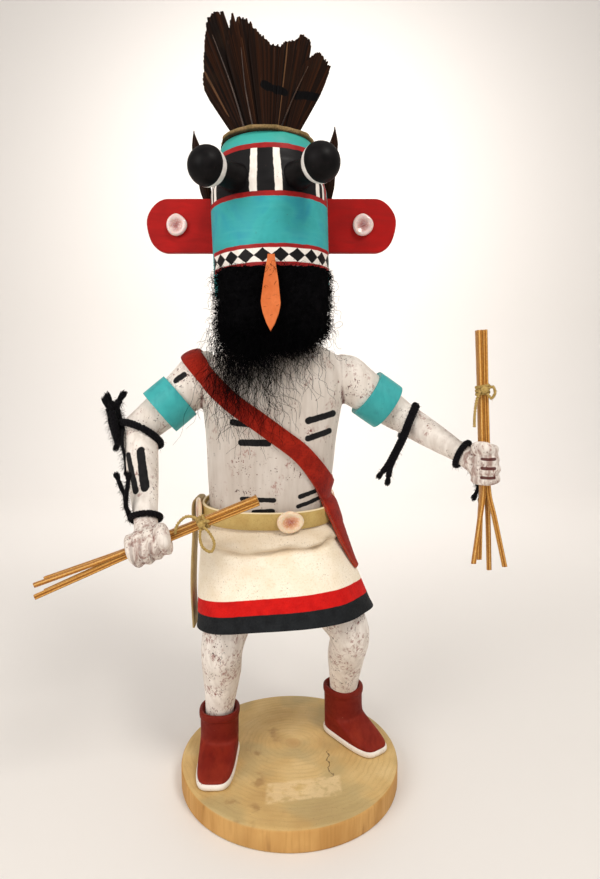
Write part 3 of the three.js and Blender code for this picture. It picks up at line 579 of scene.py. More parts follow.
def hollow_shade_of(mesh, passes=12):
    """Share of painted shade at each point, from how hollow the surface is there."""
    points = positions(mesh)
    edges = np.empty(len(mesh.edges) * 2, int)
    mesh.edges.foreach_get("vertices", edges)
    a, b = edges.reshape(-1, 2).T
    smooth = points.copy()
    degree = np.bincount(np.r_[a, b], minlength=len(points))[:, None]
    for _ in range(passes):
        total = np.zeros_like(smooth)
        for k in range(3):
            total[:, k] = np.bincount(a, smooth[b, k], len(points)) + np.bincount(b, smooth[a, k], len(points))
        smooth = (smooth + total / degree) / 2
    hollow = ((smooth - points) * normals(mesh)).sum(1)
    return np.clip(hollow / 0.35, -1, 1)


# Bars painted on the body: ends in X and Z, and half width
BARS = [
    ((7.6, 157.9), (17.6, 160.4), 1.35),
    ((7.6, 150.9), (16.0, 153.4), 1.25),
    ((-21.8, 157.2), (-14.0, 156.6), 1.3),
    ((-18.6, 149.4), (-8.0, 149.4), 1.35),
    ((-18.5, 126.9), (-6.0, 126.5), 1.0),
    ((-14.0, 121.8), (-6.4, 122.2), 0.9),
    ((4.5, 127.6), (11.5, 129.6), 0.95),
    ((3.6, 123.6), (13.5, 126.4), 0.85),
]
FOREARM_BARS = [
    ((-62.4, 144.6), (-56.9, 132.8), 1.3),
    ((-57.4, 146.4), (-53.6, 134.0), 1.55),
    ((-45.4, 173.6), (-42.0, 175.8), 1.2),
]
# Painted shade between the fingers: ends in X and Z, and half width
FINGER_GAP_SHADES = [
    ((70.9, 145.1), (75.4, 145.1), 0.55),
    ((71.0, 141.7), (75.5, 141.7), 0.55),
    ((71.0, 138.2), (75.5, 138.2), 0.55),
    ((-54.6, 116.4), (-53.6, 108.4), 0.5),
    ((-51.3, 116.6), (-50.8, 107.9), 0.5),
    ((-47.9, 117.0), (-47.8, 108.2), 0.5),
]


BODY_VOXEL = 0.72


def body_finish():
    f = Finish("body_paint", 0.75, 0.25)
    brushed = f.noise(2.2, 4, (1, 1, 7), 0.4)
    cloudy = f.noise(14, 2, seed=1)
    base = f.shades(cloudy, (0.32, "dfd6cc"), (0.62, "f3ece4"))
    base = f.mix(f.step(brushed, 0.35, 0.72, 0, 0.55), base, "c9beb3")
    # Arms and legs are worn more than the trunk, and the hands most
    off_middle = f.math("ABSOLUTE", f.minus(f.x, MASK_X))
    legs = f.step(f.z, 84, 98, 1, 0)
    limbs = f.most(f.step(off_middle, 22, 31), legs)
    # Painted shade: the trunk is greyed, more towards the waist than at the chest
    shade = f.times(f.minus(1.0, limbs), f.step(f.z, 125, 178, 0.55, 0.25))
    base = f.mix(shade, base, "a3968b")
    hands = 0.0
    for arm in ARMS.values():
        away = f.vector("DISTANCE", f.place, tuple(grip_of(arm) + (0, 0, FLOOR)))
        hands = f.most(hands, f.step(away, 7, 13, 1, 0))
    patches = f.plus(f.noise(8, 2, seed=3), f.times(limbs, 0.07))
    clusters = f.step(patches, 0.56, 0.66)
    dots = f.step(f.cells(0.9), 0.2, 0.3, 1, 0)
    dots = f.times(dots, f.step(f.noise(1.6, 2, seed=4), 0.46, 0.54))
    marks = f.step(f.noise(1.0, 4, (1, 1, 2), 0.6, seed=6), 0.6, 0.66)
    wear = f.times(clusters, f.most(dots, marks))
    lone = f.times(f.step(f.cells(2.3), 0.1, 0.14, 1, 0), f.step(patches, 0.46, 0.56))
    wear = f.most(wear, f.times(lone, 0.8))
    brown = f.shades(f.noise(5, 2, seed=5), (0.42, "352724"), (0.58, "6b2a22"))
    base = f.mix(f.times(wear, 0.9), base, brown)
    rubbed = f.step(f.noise(1.1, 5, (1, 1, 1.6), 0.8, seed=12), 0.48, 0.62)
    areas = f.plus(f.noise(7, 3, seed=11), f.times(limbs, 0.06))
    areas = f.plus(areas, f.times(legs, 0.05))
    base = f.mix(f.times(f.step(areas, 0.56, 0.68, 0, 0.65), rubbed), base, "8e5348")
    streaked = f.step(f.noise(1.5, 4, (1, 1, 5), 0.2, seed=14), 0.4, 0.7, 0, 0.8)
    base = f.mix(f.times(hands, streaked), base, "927066")
    # Painted shade, dark red-brown, in the hollows of the carving
    hollow_shade = f.times(f.step(f.attribute("stain"), 0.2, 0.8), 0.85)
    base = f.mix(hollow_shade, base, "5a1d18")
    wobble = f.swing(0.7, 2.0, 3, seed=8)
    front = f.step(f.y, -3, -2, 1, 0)
    bars = 0.0
    for a, b, radius in BARS:
        bars = f.most(bars, f.capsule(a, b, radius, wobble))
    bars = f.times(bars, front)
    # Only the upper face of the sloping forearm is painted
    arm = ARMS["right"]
    way = arm["wrist"] - arm["elbow"]
    middle = f.times(f.minus(f.z, arm["elbow"][2] + FLOOR), way[1] / way[2])
    middle = f.math("MINIMUM", f.plus(middle, arm["elbow"][1]), -2.0)
    upper = f.step(f.minus(f.y, middle), -1.0, 0.4, 1, 0)
    for a, b, radius in FOREARM_BARS:
        bars = f.most(bars, f.times(f.capsule(a, b, radius, wobble), upper))
    ink = f.shades(f.noise(3, 3, seed=2), (0.3, "070709"), (0.7, "121012"))
    base = f.mix(bars, base, ink)
    # Painted shade between the fingers, strong on the left fist and faint on the right, towards the front only
    lines = 0.0
    for a, b, radius in FINGER_GAP_SHADES:
        line = f.capsule(a, b, radius, f.times(wobble, 0.5))
        lines = f.most(lines, f.times(line, 0.95 if a[0] > 0 else 0.4))
    base = f.mix(f.times(lines, f.step(f.y, -30, -28, 1, 0)), base, "4a1512")
    return f.finish(base, f.step(brushed, 0.2, 0.8, 0.65, 0.85), brushed, 0.5, 0.3)


def carved_body():
    parts = [trunk()]
    for side, arm in ARMS.items():
        parts += [upper_arm(arm), forearm(arm), fist(arm), leg(LEGS[side])]
    body = make("body", *lifted(joined(*parts)), body_finish(), "body_paint", ["carved_body"])
    voxel = BODY_VOXEL
    apply(body, "REMESH", mode="VOXEL", voxel_size=voxel * MM)
    apply(body, "SMOOTH", factor=0.5, iterations=5)
    # Share of painted shade in the hollows, read by the body's finish
    paint_on(body.data, "stain", hollow_shade_of(body.data))
    return body


# Boots

# Height, back, front, half width and squareness of the toe
BOOT = [
    (1.6, 7.8, 25.4, 7.7, 4.0),
    (2.4, 8.1, 25.8, 8.0, 4.0),
    (3.2, 8.2, 25.6, 8.1, 4.0),
    (3.9, 8.2, 24.0, 8.1, 4.2),
    (5.0, 8.2, 20.6, 8.1, 4.4),
    (6.4, 8.2, 15.6, 8.1, 4.4),
    (7.6, 8.2, 11.2, 8.15, 4.2),
    (8.6, 8.2, 9.0, 8.2, 3.4),
    (10, 8.2, 8.4, 8.2, 2.8),
    (13, 8.25, 8.3, 8.25, 2.5),
    (17.4, 8.4, 8.4, 8.35, 2.4),
    (18.2, 8.75, 8.75, 8.7, 2.4),
    (19.9, 8.85, 8.85, 8.8, 2.4),
    (20.9, 8.5, 8.5, 8.45, 2.4),
    (20.8, 7.4, 7.4, 7.35, 2.4),
    (18.5, 6.2, 6.2, 6.2, 2.4),
]
SOLE = [
    (0.0, 8.2, 25.8, 8.0, 4.0),
    (0.25, 8.6, 26.3, 8.4, 4.0),
    (1.2, 8.8, 26.6, 8.6, 4.0),
    (2.1, 8.7, 26.4, 8.45, 4.0),
    (2.5, 8.2, 25.8, 8.0, 4.0),
    (2.3, 7.4, 24.8, 7.2, 4.0),
]
# Share of the full height and of the full reach of each boot
BOOT_SIZES = {"right": (1.0, 1.0), "left": (1.08, 0.93)}


def shoe(stations, side, steps, count=96):
    ankle, turn = LEGS[side][2], BOOT_TURNS[side]
    tall, reach = BOOT_SIZES[side]
    angle = angles(count)
    c, s = np.cos(angle), np.sin(angle)
    rings = []
    for share in np.linspace(0, 1, steps + 1):
        z, back, front, wide, power = between(stations, share)
        power = np.where(s < 0, power, 2.4)
        front = 8 + (front - 8) * reach if front > 8.5 else front
        px = wide * squared(c, power)
        py = squared(s, power) * np.where(s < 0, front, back)
        # The toe is a little narrower than the heel
        px = px * (1 - 0.05 * np.clip(-py / 26, 0, 1))
        x = px * math.cos(turn) - py * math.sin(turn) + ankle[0]
        y = px * math.sin(turn) + py * math.cos(turn) + ankle[1]
        level = z * (tall if z > 2.6 else 1)
        rings.append(np.stack([x, y, np.full(count, level)], 1))
    return skin(rings)


def boots():
    f = Finish("boot_paint", 0.6, 0.15)
    brushed = f.noise(1.6, 4, (1, 4, 1), 0.4)
    base = f.shades(f.noise(9, 2), (0.3, "761a0f"), (0.7, "8a2a18"))
    base = f.mix(f.step(brushed, 0.4, 0.8, 0, 0.45), base, "5a120a")
    # Painted shade: the shaft above the foot is darkened
    shaft = f.step(f.z, FLOOR + 8.5, FLOOR + 11, 0, 0.45)
    base = f.mix(shaft, base, "5c1109")
    base = f.mix(f.step(f.noise(0.8, 3, seed=2), 0.73, 0.77, 0, 0.5), base, "b5806a")
    red = f.finish(base, f.step(brushed, 0.2, 0.8, 0.5, 0.7), brushed, 0.35, 0.2)
    s = Finish("sole_paint", 0.65, 0.25)
    base = s.shades(s.noise(6, 3), (0.35, "e4dace"), (0.7, "f4eee5"))
    base = s.mix(s.step(s.noise(1.0, 3, seed=3), 0.66, 0.7, 0, 0.8), base, "a56a54")
    cream = s.finish(base, None, s.noise(1.2, 3), 0.3, 0.2)
    for side in LEGS:
        make(f"boot_{side}", *lifted(shoe(BOOT, side, 56)), red, "red_paint")
        make(f"sole_{side}", *lifted(shoe(SOLE, side, 20)), cream, "body_paint")


# Mask


def drum_profile():
    return [
        (MASK_RADIUS - 1.2, 0),
        (MASK_RADIUS - 0.3, 1.5),
        (MASK_RADIUS, 6),
        (MASK_RADIUS, MASK_STRAIGHT * 0.5),
        (MASK_RADIUS, MASK_STRAIGHT - 1),
        (MASK_RADIUS - 0.6, MASK_STRAIGHT + 3),
        (MASK_TOP_RADIUS + 3.0, MASK_STRAIGHT + 9),
        (MASK_TOP_RADIUS + 0.9, MASK_LENGTH - 3),
        (MASK_TOP_RADIUS - 0.3, MASK_LENGTH - 0.4),
        (MASK_TOP_RADIUS - 0.9, MASK_LENGTH),
    ]


def turned(profile, steps, count):
    """Form turned about Z, from its radius and height at each station."""
    rows = path_points(profile, steps)
    turn = angles(count)
    rings = [np.stack([r * np.cos(turn), r * np.sin(turn), np.full(count, z)], 1) for r, z in rows]
    return skin(rings)


HEAD_AXES = np.array(
    [
        [math.cos(MASK_LEAN), 0, -math.sin(MASK_LEAN)],
        [0, 1, 0],
        [math.sin(MASK_LEAN), 0, math.cos(MASK_LEAN)],
    ]
)
HEAD_AT = np.array([MASK_X, 0, MASK_HEIGHT + FLOOR])


def beside_head(skin_):
    """Level on the mask, at the height where the ears stand."""
    points, faces = skin_
    return np.asarray(points) + HEAD_AT + (math.sin(MASK_LEAN) * EAR_LEVEL + 0.5, 0, 0), faces


def on_head(skin_):
    points, faces = skin_
    return np.asarray(points) @ HEAD_AXES + HEAD_AT, faces


# Levels of the painted bands above the lower edge of the mask
TEETH = (10.3, 15.4)
LOWER_RED = (8.7, 16.9)
VISOR = (35.7, 52.0)
VISOR_RED = (33.9, 54.0)
TOOTH_PITCH = 16.2
TOOTH_START = -5.2
TEETH_SIDES = (-72, 82)
# White bars of the visor: first and last degree round the mask
VISOR_BARS = [(-15.3, -8.1), (7.9, 15.0), (-71.5, -66), (-62.5, -57), (52.4, 58.4), (64.4, 68.4)]
VISOR_EDGE = (70.5, 78)


def mask_finish():
    f = Finish("mask_paint", 0.55, 0.18)
    # Height above the lower edge and turn from the front, on the leaning mask
    z = f.minus(f.z, FLOOR + MASK_HEIGHT)
    z = f.minus(z, f.times(f.minus(f.x, MASK_X), -math.sin(MASK_LEAN)))
    wobble = f.swing(0.55, 4.0, 3, seed=2)
    level = f.plus(z, wobble)
    x = f.plus(f.minus(f.x, MASK_X), f.times(z, -math.sin(MASK_LEAN)))
    turn = f.math("ARCTAN2", x, f.times(f.y, -1.0))
    turn = f.times(turn, 180 / math.pi)
    turn = f.plus(turn, f.swing(1.6, 3.0, 2, seed=5))

    streaks = f.noise(1.8, 4, (7, 7, 1), 0.3, seed=1)
    clouds = f.noise(13, 3, (1, 1, 1), 0.6, seed=3)
    base = f.shades(clouds, (0.3, "319a9c"), (0.5, "3aa9ab"), (0.7, "3099ab"))
    base = f.mix(f.step(streaks, 0.45, 0.8, 0, 0.35), base, "52b6b4")
    greener = f.step(z, 50, 58)
    base = f.mix(f.times(greener, 0.5), base, "3fa78c")

    red = f.shades(f.noise(3, 3, seed=4), (0.3, "8e1416"), (0.7, "a61f1f"))
    ink = f.shades(streaks, (0.3, "040305"), (0.8, "0f0c0e"))
    white = f.shades(f.noise(2.2, 3, (1, 1, 2), seed=6), (0.3, "e8e0d6"), (0.7, "faf5ee"))

    lower = f.within(turn, *TEETH_SIDES, soft=0.4)
    base = f.mix(f.times(f.within(level, *LOWER_RED), lower), base, red)
    middle = sum(TEETH) / 2
    up = f.math("DIVIDE", f.math("ABSOLUTE", f.minus(level, middle)), (TEETH[1] - TEETH[0]) / 2)
    share = f.math("DIVIDE", f.minus(turn, TOOTH_START), TOOTH_PITCH)
    share = f.math("FRACT", f.plus(share, 40.5))
    side = f.times(f.math("ABSOLUTE", f.minus(share, 0.5)), 2.0)
    diamond = f.step(f.plus(up, side), 0.99, 1.07, 1, 0)
    teeth = f.mix(diamond, white, ink)
    base = f.mix(f.times(f.within(level, *TEETH), lower), base, teeth)

    visor = f.within(turn, -80, 80, soft=0.4)
    base = f.mix(f.times(f.within(level, *VISOR_RED), visor), base, red)
    inside = f.times(f.within(level, *VISOR), visor)
    band = ink
    for first, last in VISOR_BARS:
        band = f.mix(f.within(turn, first, last, soft=0.35), band, white)
    band = f.mix(f.within(turn, *VISOR_EDGE, soft=0.35), band, red)
    base = f.mix(inside, base, band)
    base = f.mix(f.step(f.noise(0.7, 2, seed=8), 0.72, 0.76, 0, 0.5), base, "3a2a26")
    return f.finish(base, f.step(streaks, 0.2, 0.8, 0.42, 0.62), streaks, 0.3, 0.2)


def mask():
    make("mask", *on_head(turned(drum_profile(), 80, 160)), mask_finish(), "mask_paint", ["case_mask"])


EYE_RADIUS = 6.95
EYE_STALK_RADIUS = 4.7
EYE_REACH = 38.6
EYE_SPREAD = math.radians(31)
EYE_HEIGHT = 41.6
EYE_WHITE = (-3.4, -0.1)


def eyes():
    surface = 16.5
    neck = math.pi - math.asin(EYE_STALK_RADIUS / EYE_RADIUS)
    ball = [
        (EYE_RADIUS * math.sin(a), EYE_REACH + EYE_RADIUS * math.cos(a))
        for a in np.linspace(neck, 0.02, 26)
    ]
    stalk = [(EYE_STALK_RADIUS + 1.9, surface), (EYE_STALK_RADIUS + 1.0, surface + 5)]
    stalk += [(EYE_STALK_RADIUS + 0.2, surface + 11), (EYE_STALK_RADIUS - 0.1, ball[0][1] - 2)]
    for name, side in (("eye_right", -1), ("eye_left", 1)):
        out = np.array([side * math.sin(EYE_SPREAD), -math.cos(EYE_SPREAD), 0])
        axes = along(out, np.array([0, 0, 1.0]))
        points, faces = turned(stalk + ball, 110, 64)
        reach = np.asarray(points)[:, 2] - EYE_REACH
        f = Finish(name + "_paint", 0.6, 0.1)
        worn = f.noise(2.6, 4, seed=side + 2)
        ink = f.shades(worn, (0.35, "060506"), (0.75, "131011"))
        ink = f.mix(f.step(f.noise(0.9, 2, seed=4), 0.7, 0.76, 0, 0.3), ink, "4a2c2c")
        white = f.shades(f.noise(2.5, 3, seed=5), (0.3, "d4cfcb"), (0.7, "f0ece6"))
        at = f.plus(f.attribute("reach"), f.times(f.minus(worn, 0.5), 0.5))
        base = f.mix(f.within(at, *EYE_WHITE, soft=0.1), ink, white)
        finish = f.finish(base, f.step(worn, 0.3, 0.8, 0.42, 0.62), worn, 0.25, 0.2)
        points = np.asarray(points) @ axes + (0, 0, EYE_HEIGHT)
        piece = make(name + "_ball", *on_head((points, faces)), finish, "black_paint", [name])
        paint_on(piece.data, "reach", reach)


EAR_REACH = 51
EAR_HEIGHT = 21.5
EAR_THICKNESS = 3
EAR_LEVEL = 29.2
EAR_Y = 3


def board(outline, thickness, round_=0.5):
    """Flat form with rounded edges: outline in X and Z, thickness along Y."""
    outline = np.asarray(outline, float)
    ahead = np.roll(outline, -1, 0) - np.roll(outline, 1, 0)
    out = unit(np.stack([ahead[:, 1], -ahead[:, 0]], 1))
    rings = []
    for y, inset in ((0.5, 1), (0.5, 0.3), (0.42, 0.06), (0.3, 0), (-0.3, 0), (-0.42, 0.06), (-0.5, 0.3), (-0.5, 1)):
        line = outline - out * inset * round_
        rings.append(np.stack([line[:, 0], np.full(len(line), y * thickness), line[:, 1]], 1))
    return skin(rings)


def ears():
    f = Finish("ear_paint", 0.5, 0.15)
    brushed = f.noise(2.2, 4, (4, 1, 1), 0.5)
    base = f.shades(f.noise(10, 2), (0.3, "980a08"), (0.7, "ae0e0b"))
    base = f.mix(f.step(brushed, 0.4, 0.8, 0, 0.5), base, "820e0c")
    base = f.mix(f.step(f.noise(0.7, 3, seed=3), 0.72, 0.76, 0, 0.5), base, "4a2420")
    red = f.finish(base, f.step(brushed, 0.2, 0.8, 0.42, 0.6), brushed, 0.3, 0.2)
    half = EAR_HEIGHT / 2
    end = EAR_REACH - half * 0.82
    for name, side in (("ear_right", -1), ("ear_left", 1)):
        outline = [(MASK_RADIUS - 1.5, -half)]
        outline += [(x, -half) for x in np.linspace(MASK_RADIUS + 1, end - 1, 12)]
        outline += [(end + half * 0.82 * math.cos(a), half * math.sin(a)) for a in np.linspace(-np.pi / 2, np.pi / 2, 40)]
        outline += [(x, half) for x in np.linspace(end - 1, MASK_RADIUS + 1, 12)]
        outline += [(MASK_RADIUS - 1.5, half)]
        outline = np.array(outline)
        outline[:, 0] += 0.18 * np.sin(outline[:, 1] * 0.5)
        outline *= (side, 1)
        points, faces = board(outline[::side], EAR_THICKNESS)
        points = np.asarray(points) + (0, EAR_Y, EAR_LEVEL)
        make(name + "_board", *beside_head((points, faces)), red, "red_paint", [name])


def shell_finish(name, edge, heart, tint):
    f = Finish(name, 0.22, 0.5, Coat_Weight=0.4, Subsurface_Weight=0.25, Subsurface_Scale=0.002)
    share = f.attribute("share")
    share = f.plus(share, f.swing(0.35, 1.6, 3))
    base = f.shades(share, (0.1, heart), (0.45, tint), (0.72, edge), (1.0, edge))
    growth = f.noise(0.5, 2)
    base = f.mix(f.step(growth, 0.4, 0.8, 0, 0.25), base, "ffffff")
    return f.finish(base, None, growth, 0.2, 0.1)


def shell_disc(radius, thickness, point_up, sides=48):
    """Dished disc facing +Z, with its rim drawn out a little towards +Y."""
    profile = [
        (0.05, 0), (0.7, 0), (0.93, 0.12), (1.0, 0.42), (0.98, 0.7), (0.9, 0.92),
        (0.8, 1.0), (0.66, 0.92), (0.48, 0.74), (0.28, 0.6), (0.04, 0.56),
    ]
    rings, shares = [], []
    turn = angles(sides)
    for r, z in path_points(profile, 30):
        draw = 1 + point_up * np.exp(-(((turn - np.pi / 2) / 0.45) ** 2)) + 0.025 * np.sin(3 * turn + 1)
        rim = r * radius * draw
        rings.append(np.stack([rim * np.cos(turn), rim * np.sin(turn), np.full(sides, z * thickness)], 1))
        shares += [r] * sides
    points, faces = skin(rings)
    return np.array(points), faces, np.array(shares + [0, 0])


EAR_SHELL_RADIUS = 4.2
BELT_SHELL_RADIUS = 5.4
SHELL_THICKNESS = 1.8


def place_shell(name, node, radius, point_up, axes, at, finish, head=False, squash=1.0):
    points, faces, shares = shell_disc(radius, SHELL_THICKNESS, point_up)
    points *= (1, squash, 1)
    points = points @ axes + at
    skin_ = beside_head((points, faces)) if head else lifted((points, faces))
    piece = make(name, *skin_, finish, "shell", [node])
    paint_on(piece.data, "share", shares)


def shells():
    pale = shell_finish("ear_shell", "e2c8c2", "93504e", "c3908a")
    front = np.array([[1, 0, 0], [0, 0, 1], [0, -1, 0]], float)
    y = EAR_Y - EAR_THICKNESS / 2 - 0.1
    for node, x in (("ear_shell_right", -38.6), ("ear_shell_left", 37.4)):
        place_shell(node + "_disc", node, EAR_SHELL_RADIUS, 0.12, front, (x, y, EAR_LEVEL), pale, True)
    warm = shell_finish("belt_shell", "e6cba8", "a8502c", "d29568")
    middle = BELT_HEIGHT + BELT_WIDTH / 2
    for side, degrees, off, squash in (("front", -73, 0, 0.8), ("left", 36, GAP + 1.3, 1), ("right", 192, 0, 1)):
        turn = math.radians(degrees)
        wide, deep = WAIST[3] + BELT_OUT + off, WAIST[4] + BELT_OUT + off
        c, s = math.cos(turn), math.sin(turn)
        x, y = WAIST[1] + wide * squared(c, SECTION), WAIST[2] + deep * squared(s, SECTION)
        out = unit(np.array([c / wide, s / deep, 0]))
        axes = along(out, np.array([0, 0, 1.0]))
        axes = np.stack([np.cross(axes[0], axes[2]), axes[0], axes[2]])
        at = np.array([x, y, belt_level(middle, y)]) + out * 0.4
        place_shell(f"shell_{side}", f"belt_shell_{side}", BELT_SHELL_RADIUS, 0.05, axes, at, warm, squash=squash)


# Crown and fan

CROWN_RADIUS = 18.8
CROWN_THICKNESS = 2
CROWN_BASE = MASK_LENGTH + GAP
CROWN_TOP = CROWN_BASE + CROWN_THICKNESS


def crown():
    f = Finish("crown_leather_rough", 0.9)
    nap = f.noise(0.8, 4, seed=1)
    base = f.shades(f.noise(3.5, 3), (0.3, "7b6540"), (0.55, "957b52"), (0.75, "7f5f48"))
    base = f.mix(f.step(nap, 0.4, 0.75, 0, 0.6), base, "6f6434")
    # Painted shadow along the disc's lower edge, where it sits on the mask
    low = f.step(f.z, FLOOR + MASK_HEIGHT + CROWN_BASE - 0.6, FLOOR + MASK_HEIGHT + CROWN_BASE + 0.7, 1, 0)
    base = f.mix(f.times(low, 0.85), base, "241512")
    leather = f.finish(base, None, nap, 1.0, 0.9)
    profile = [
        (0.3, 0), (CROWN_RADIUS - 1.4, 0), (CROWN_RADIUS - 0.3, 0.35), (CROWN_RADIUS, 1.0),
        (CROWN_RADIUS - 0.15, 1.6), (CROWN_RADIUS - 0.9, 2.05), (CROWN_RADIUS - 3, 2.15), (0.3, 2.0),
    ]
    points, faces = turned(profile, 64, 200)
    points = np.array(points)
    turn = np.arctan2(points[:, 1], points[:, 0])
    reach = np.hypot(points[:, 0], points[:, 1]) / CROWN_RADIUS
    wave = 0.4 * np.sin(3 * turn + 1) + 0.3 * np.sin(7 * turn) + 0.22 * np.sin(19 * turn + 2) * np.sin(4 * turn)
    points[:, :2] *= (1 + wave * reach**3 / CROWN_RADIUS)[:, None]
    points[:, 2] += CROWN_BASE - 0.15 + 0.25 * np.sin(2 * turn + 0.5) * reach**2 + 0.12 * np.sin(9 * turn) * reach**3
    make("crown", *on_head((points, faces)), leather, "olive_leather", ["crown_leather"])


FAN_Y = 4
FAN_SLOT_DEPTH = 6
FEATHER_STEP = 1.1
BARB_COUNT = 130
BARB_RAGGED = 0.7
FAN_TILT = math.tan(-MASK_LEAN)
# Where the upright fan stands: X and Z of the middle of the crown's top
FAN_AT = (MASK_X + math.sin(MASK_LEAN) * CROWN_TOP, MASK_HEIGHT + FLOOR + CROWN_TOP)
# Feathers of the fan: foot, and the rim from left to right
FAN = [
    {
        "foot": (-7.5, 5),
        "rim": [(-9.6, 3), (-11, 7.7), (-18, 15.4), (-25.7, 23.7), (-26.1, 29.1), (-25.6, 36), (-24.9, 44), (-24.3, 50.6),
                (-22.6, 52.6), (-21.4, 53.4), (-19.6, 53), (-17.8, 53.2), (-17.7, 48), (-16.1, 41)],
    },
    {
        "foot": (-3.5, 4.4),
        "rim": [(-16.2, 38), (-15.4, 44.5), (-13.9, 51.6), (-13.7, 47.7), (-15.0, 41), (-13.6, 45), (-11.6, 50.8), (-9, 49.6),
                (-6.4, 47.6), (-5.4, 45)],
    },
    {"foot": (0.6, 5.4), "rim": [(-7.0, 45), (-4.6, 44.8), (-2.6, 42.6), (2.1, 38.5), (5.9, 38.1), (8.4, 38.6)]},
    {
        "foot": (4.8, 4.4),
        "rim": [(6, 38), (9.2, 39.5), (11.4, 39.6), (14, 41.7), (16.8, 39.9), (17.4, 36.7), (15.4, 32.4), (12.8, 26)],
    },
    {
        "foot": (8.2, 4),
        "rim": [(12.0, 24.5), (16.4, 31.8), (19, 33.6), (21.1, 34.5), (23, 32), (25, 29.1), (24.4, 26), (22.1, 20.5), (17, 14),
                (12, 7.7), (10.6, 4)],
    },
]
# Dark bars painted across the right part: ends, across and up from the crown, and half width
FAN_BARS = [((-1.4, 24.0), (6.8, 20.4), 1.5), ((11.6, 18.8), (19.6, 18.4), 1.6)]


def feather_finish(name, bar=None):
    f = Finish(name, 0.5, 0.06)
    tone = f.attribute("tone")
    base = f.shades(tone, (0.0, "060201"), (0.3, "160802"), (0.6, "261105"), (0.85, "341a0a"), (1.0, "62452e"))
    base = f.mix(f.step(f.noise(9, 3, seed=2), 0.5, 0.75, 0, 0.5), base, "22150a")
    if bar:
        base = f.mix(bar(f), base, "030203")
    return f.finish(base, f.step(tone, 0, 1, 0.5, 0.34), f.noise(0.5, 2, (1, 1, 8)), 0.3, 0.1)


def fan_bar(f):
    """Dark bars across the right part of the fan."""
    wobble = f.swing(1.6, 3, 3)
    bars = 0.0
    for (ax, az), (bx, bz), radius in FAN_BARS:
        a, b = (FAN_AT[0] + ax, FAN_AT[1] + az), (FAN_AT[0] + bx, FAN_AT[1] + bz)
        bars = f.most(bars, f.capsule(a, b, radius, wobble))
    return bars


def blade(foot, rim, layer, count, bottom):
    """Barbs of a split feather, from its foot to points along its rim."""
    rim = np.asarray(rim, float)
    reach = np.r_[0, np.cumsum(np.linalg.norm(np.diff(rim, axis=0), axis=1))]
    at = np.linspace(0, reach[-1], count)
    tips = np.stack([np.interp(at, reach, rim[:, 0]), np.interp(at, reach, rim[:, 1])], 1)
    middle, width = foot
    # Barbs keep their order across the foot
    order = np.arctan2(tips[:, 0] - middle, tips[:, 1] + 8)
    spread = (order - order.min()) / (np.ptp(order) + 1e-9)
    steps = np.linspace(0, 1, 9)
    points, faces, tones = [], [], []
    for k, tip in enumerate(tips):
        start = np.array([middle + width * (spread[k] - 0.5), 0.0])
        end = tip + unit(tip - start) * rng.normal(0, BARB_RAGGED) * 0.6
        bend = rng.normal(0, 0.1)
        depth = layer + rng.uniform(-0.2, 0.2)
        length = np.linalg.norm(end - start)
        wide = 0.5 + 0.03 * length
        tone = rng.uniform(0.1, 0.75) if rng.random() > 0.012 else 0.97
        side = unit(np.array([end[1] - start[1], start[0] - end[0]]))
        first = len(points)
        for s in steps:
            centre = start + (end - start) * s + side * bend * math.sin(math.pi * s)
            half = wide * (0.35 + 0.75 * s) * (1 if s < 0.99 else 0.35) / 2
            x, z = centre
            tilt = FAN_TILT * max(z, 0)
            for across, off in ((-1, 0.12), (0, -0.12), (1, 0.12)):
                p = centre + side * half * across
                points.append((p[0] + tilt, depth + off, p[1] + CROWN_TOP))
                tones.append(tone)
        for s in range(len(steps) - 1):
            a = first + 3 * s
            faces += [(a, a + 1, a + 4, a + 3), (a + 1, a + 2, a + 5, a + 4)]
    # Quill part below the crown
    low = len(points)
    for z in (bottom - CROWN_TOP, 0.4):
        for dx, dy in ((-1, -0.3), (1, -0.3), (1, 0.3), (-1, 0.3)):
            points.append((middle + dx * width * 0.42, layer + dy, z + CROWN_TOP))
            tones.append(0.1)
    faces += [(low, low + 1, low + 5, low + 4), (low + 1, low + 2, low + 6, low + 5)]
    faces += [(low + 2, low + 3, low + 7, low + 6), (low + 3, low, low + 4, low + 7), (low + 3, low + 2, low + 1, low)]
    faces += [(low + 4, low + 5, low + 6, low + 7)]
    return np.array(points), faces, np.array(tones)


def fan():
    finish = feather_finish("fan_feathers", fan_bar)
    bottom = CROWN_BASE - FAN_SLOT_DEPTH + 2 * GAP
    for i, feather in enumerate(FAN):
        layer = FAN_Y - (i - 2) * FEATHER_STEP
        points, faces, tones = blade(feather["foot"], feather["rim"], layer, BARB_COUNT, bottom)
        piece = make(f"feather_{i + 1}", *on_head((points, faces)), finish, "feather", [f"fan_feather_{i + 1}"])
        paint_on(piece.data, "tone", tones)
    pale = Finish("feather_shaft", 0.35)
    base = pale.shades(pale.noise(4, 2), (0.3, "1a0d07"), (0.7, "4a3528"))
    shaft = pale.finish(base, None, pale.noise(0.6, 2), 0.2, 0.1)
    lines = [((-4.5, 1), (-8.4, 20), (-10.2, 37)), ((-8, 2), (-14, 22), (-21.5, 42)), ((4, 2), (10.4, 17), (16.5, 29))]
    for k, line in enumerate(lines):
        path = path_points([(x + FAN_TILT * z, FAN_Y - 2.75 - 0.1 * k, z + CROWN_TOP) for x, z in line], 20)
        skin_ = tube(path, np.linspace(0.42, 0.12, len(path)), 8)
        make(f"feather_shaft_{k + 1}", *on_head(skin_), shaft, "feather")


# Short feathers behind the ears: foot and tip in X and Z, and the side of the pointed edge
SIDE_FEATHERS = {
    "right": ((-32.6, 241.5), (-39.3, 275.2), -1),
    "left": ((15.6, 243.0), (18.0, 276.8), 1),
}
SIDE_FEATHER_Y = EAR_Y + EAR_THICKNESS / 2 + GAP + 0.9


